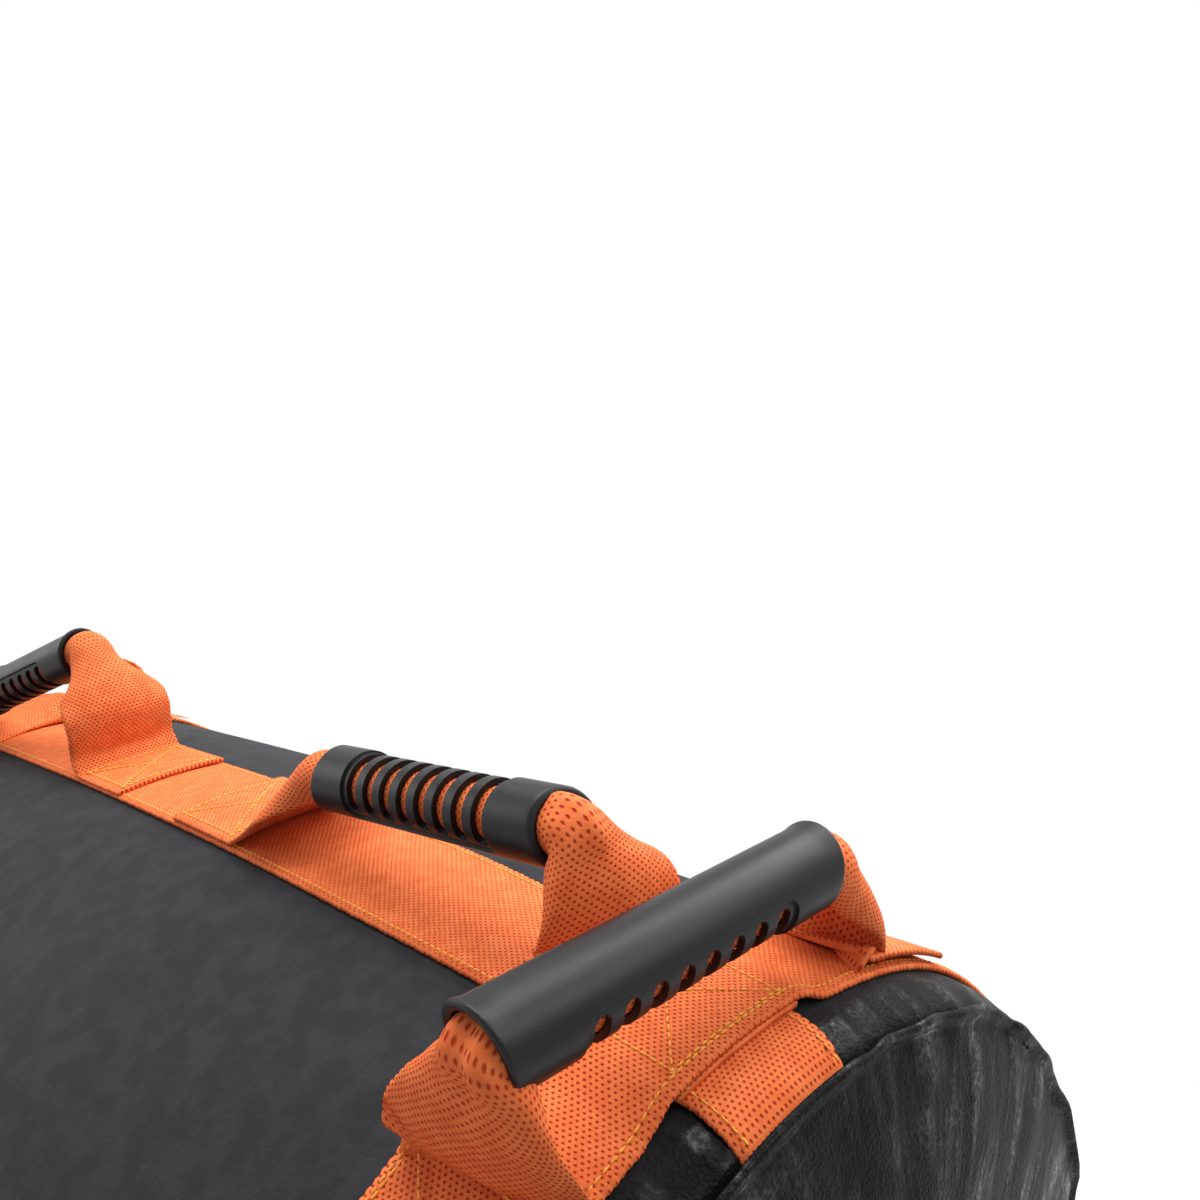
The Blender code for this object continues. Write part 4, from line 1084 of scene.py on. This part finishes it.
for side, label in ((-1, "upper"), (1, "lower")):
    tape = make_tape(f"zip_cloth_{label}", side)
    dress(tape, tape_cloth, "bag")
    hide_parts(f"zip_tape_{label}")
    xs = spaced(-half_zip + 0.005, half_zip - 0.005, 0.01) + side * TOOTH_PITCH / 4
    line = skin_places(xs, ZIP_PLACE + side * 0.0012, ZIP_LIFT + TAPE_THICKNESS + 0.0002)
    sew(f"zip_teeth_{label}", [line], "bag", tooth_plastic, TOOTH_FORM)
for name in ("zip_slider", "zip_pull", "zip_stop_left", "zip_stop_right"):
    paint(frame["nodes"][name], metal)
frame_x, frame_low, frame_high = half_zip + FRAME_END, zip_low - FRAME_SIDE, zip_high + FRAME_SIDE
rows = [skin_places(spaced(-frame_x, frame_x, 0.004), run, FRAME_LIFT) for run in (frame_low, frame_high)]
rows += [skin_places(x, spaced(frame_low, frame_high, 0.003), FRAME_LIFT) for x in (-frame_x, frame_x)]
sew("stitches_zip", rows, "bag", dark_thread, FRAME_STITCH)

# Sand fillers: two closed cloth bags inside the skin, each full of sand and shut by a flap. They can't be
# seen when the bag is closed; they make its weight and hold its shape.
FILLER_LENGTH = 0.255
FILLER_SLACK = 0.016
FILLER_ROUND = 0.050
FILLER_PARTING = 0.010
FILLER_STEP = 0.010
FILLER_CLOTH = 0.0010

filler_cloth = Finish("filler_cloth", (0.10, 0.10, 0.11), 0.9)
filler_yarn = weave(filler_cloth, 0.0011, 0.0011)
# The pits between the yarns are painted a darker grey: painted shade in the weave's hollows.
filler_grey_with_painted_pit_shade = filler_cloth.mixed(filler_yarn, (0.05, 0.05, 0.055, 1.0), (0.12, 0.12, 0.13, 1.0))
filler_cloth.wear("Base Color", filler_grey_with_painted_pit_shade)
filler_cloth.wear("Normal", filler_cloth.emboss(filler_yarn, 0.0003, 0.8))
sand = Finish("sand", (0.52, 0.38, 0.22), 0.95)
grains = sand.noise(1800.0, 2.0, 0.7)
sandy = sand.mixed(grains.between(0.35, 0.65), (0.34, 0.23, 0.12, 1.0), (0.64, 0.50, 0.31, 1.0))
sand.wear("Base Color", sandy)
sand.wear("Normal", sand.emboss(grains, 0.0006, 0.9))


def filler_ring(x, squeeze, wrinkle):
    """A ring of the filler's cloth, inside the skin and drawn in towards its closed end."""
    run = spaced(-HALF_GIRTH, HALF_GIRTH, FILLER_STEP)[:-1]
    side = np.where(run < 0, -1.0, 1.0)
    y, z, ny, nz = (np.interp(np.abs(run), SECTION[0], row) for row in SECTION[1:])
    inset = SHELL_WALL + GAP + FILLER_SLACK + wrinkle * (1.0 + np.sin(run * 61.0 + x * 90.0))
    ring = np.stack([np.full(len(run), x), side * (y - ny * inset) * squeeze,
                     AXIS_Z + (z - nz * inset - FILLER_SLACK) * squeeze], axis=1)
    return ring


for side, label in ENDS:
    start = FILLER_PARTING / 2
    stop = start + FILLER_LENGTH
    outer = [filler_ring(x, 1.0, 0.0012) for x in spaced(stop, start + FILLER_ROUND, 0.012)[:-1]]
    turns = math.pi / 2 * np.linspace(0.0, 1.0, 14)[:-1]
    outer += [filler_ring(start + FILLER_ROUND * (1.0 - math.sin(a)), math.cos(a) ** 0.87, 0.0008)
              for a in turns]
    places = np.array(outer)
    places[..., 0] *= side
    run = spaced(-HALF_GIRTH, HALF_GIRTH, FILLER_STEP)
    along = np.arange(len(places)) * FILLER_STEP
    piece = surface(f"filler_cloth_{label}", places, run, along, around=True)
    face_outwards(piece, len(run) - 1)
    thicken(piece, FILLER_CLOTH)
    dress(piece, filler_cloth, "bag")
    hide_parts(f"filler_bag_{label}")
    low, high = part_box(f"filler_flap_{label}")
    y, z = spaced(low.y, high.y, 0.012), spaced(low.z, high.z, 0.012)
    ys, zs = np.meshgrid(y, z, indexing="ij")
    sag = 0.0007 * np.sin(ys * 60.0) * np.sin(zs * 50.0)
    middle = (low.x + high.x) / 2 + sag
    flap = surface(f"filler_flap_cloth_{label}", np.stack([middle, ys, zs], axis=-1), z, y)
    thicken(flap, FILLER_CLOTH, offset=0.0)
    dress(flap, filler_cloth, "bag")
    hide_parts(f"filler_flap_{label}")
    paint(frame["nodes"][f"sand_{label}"], sand)
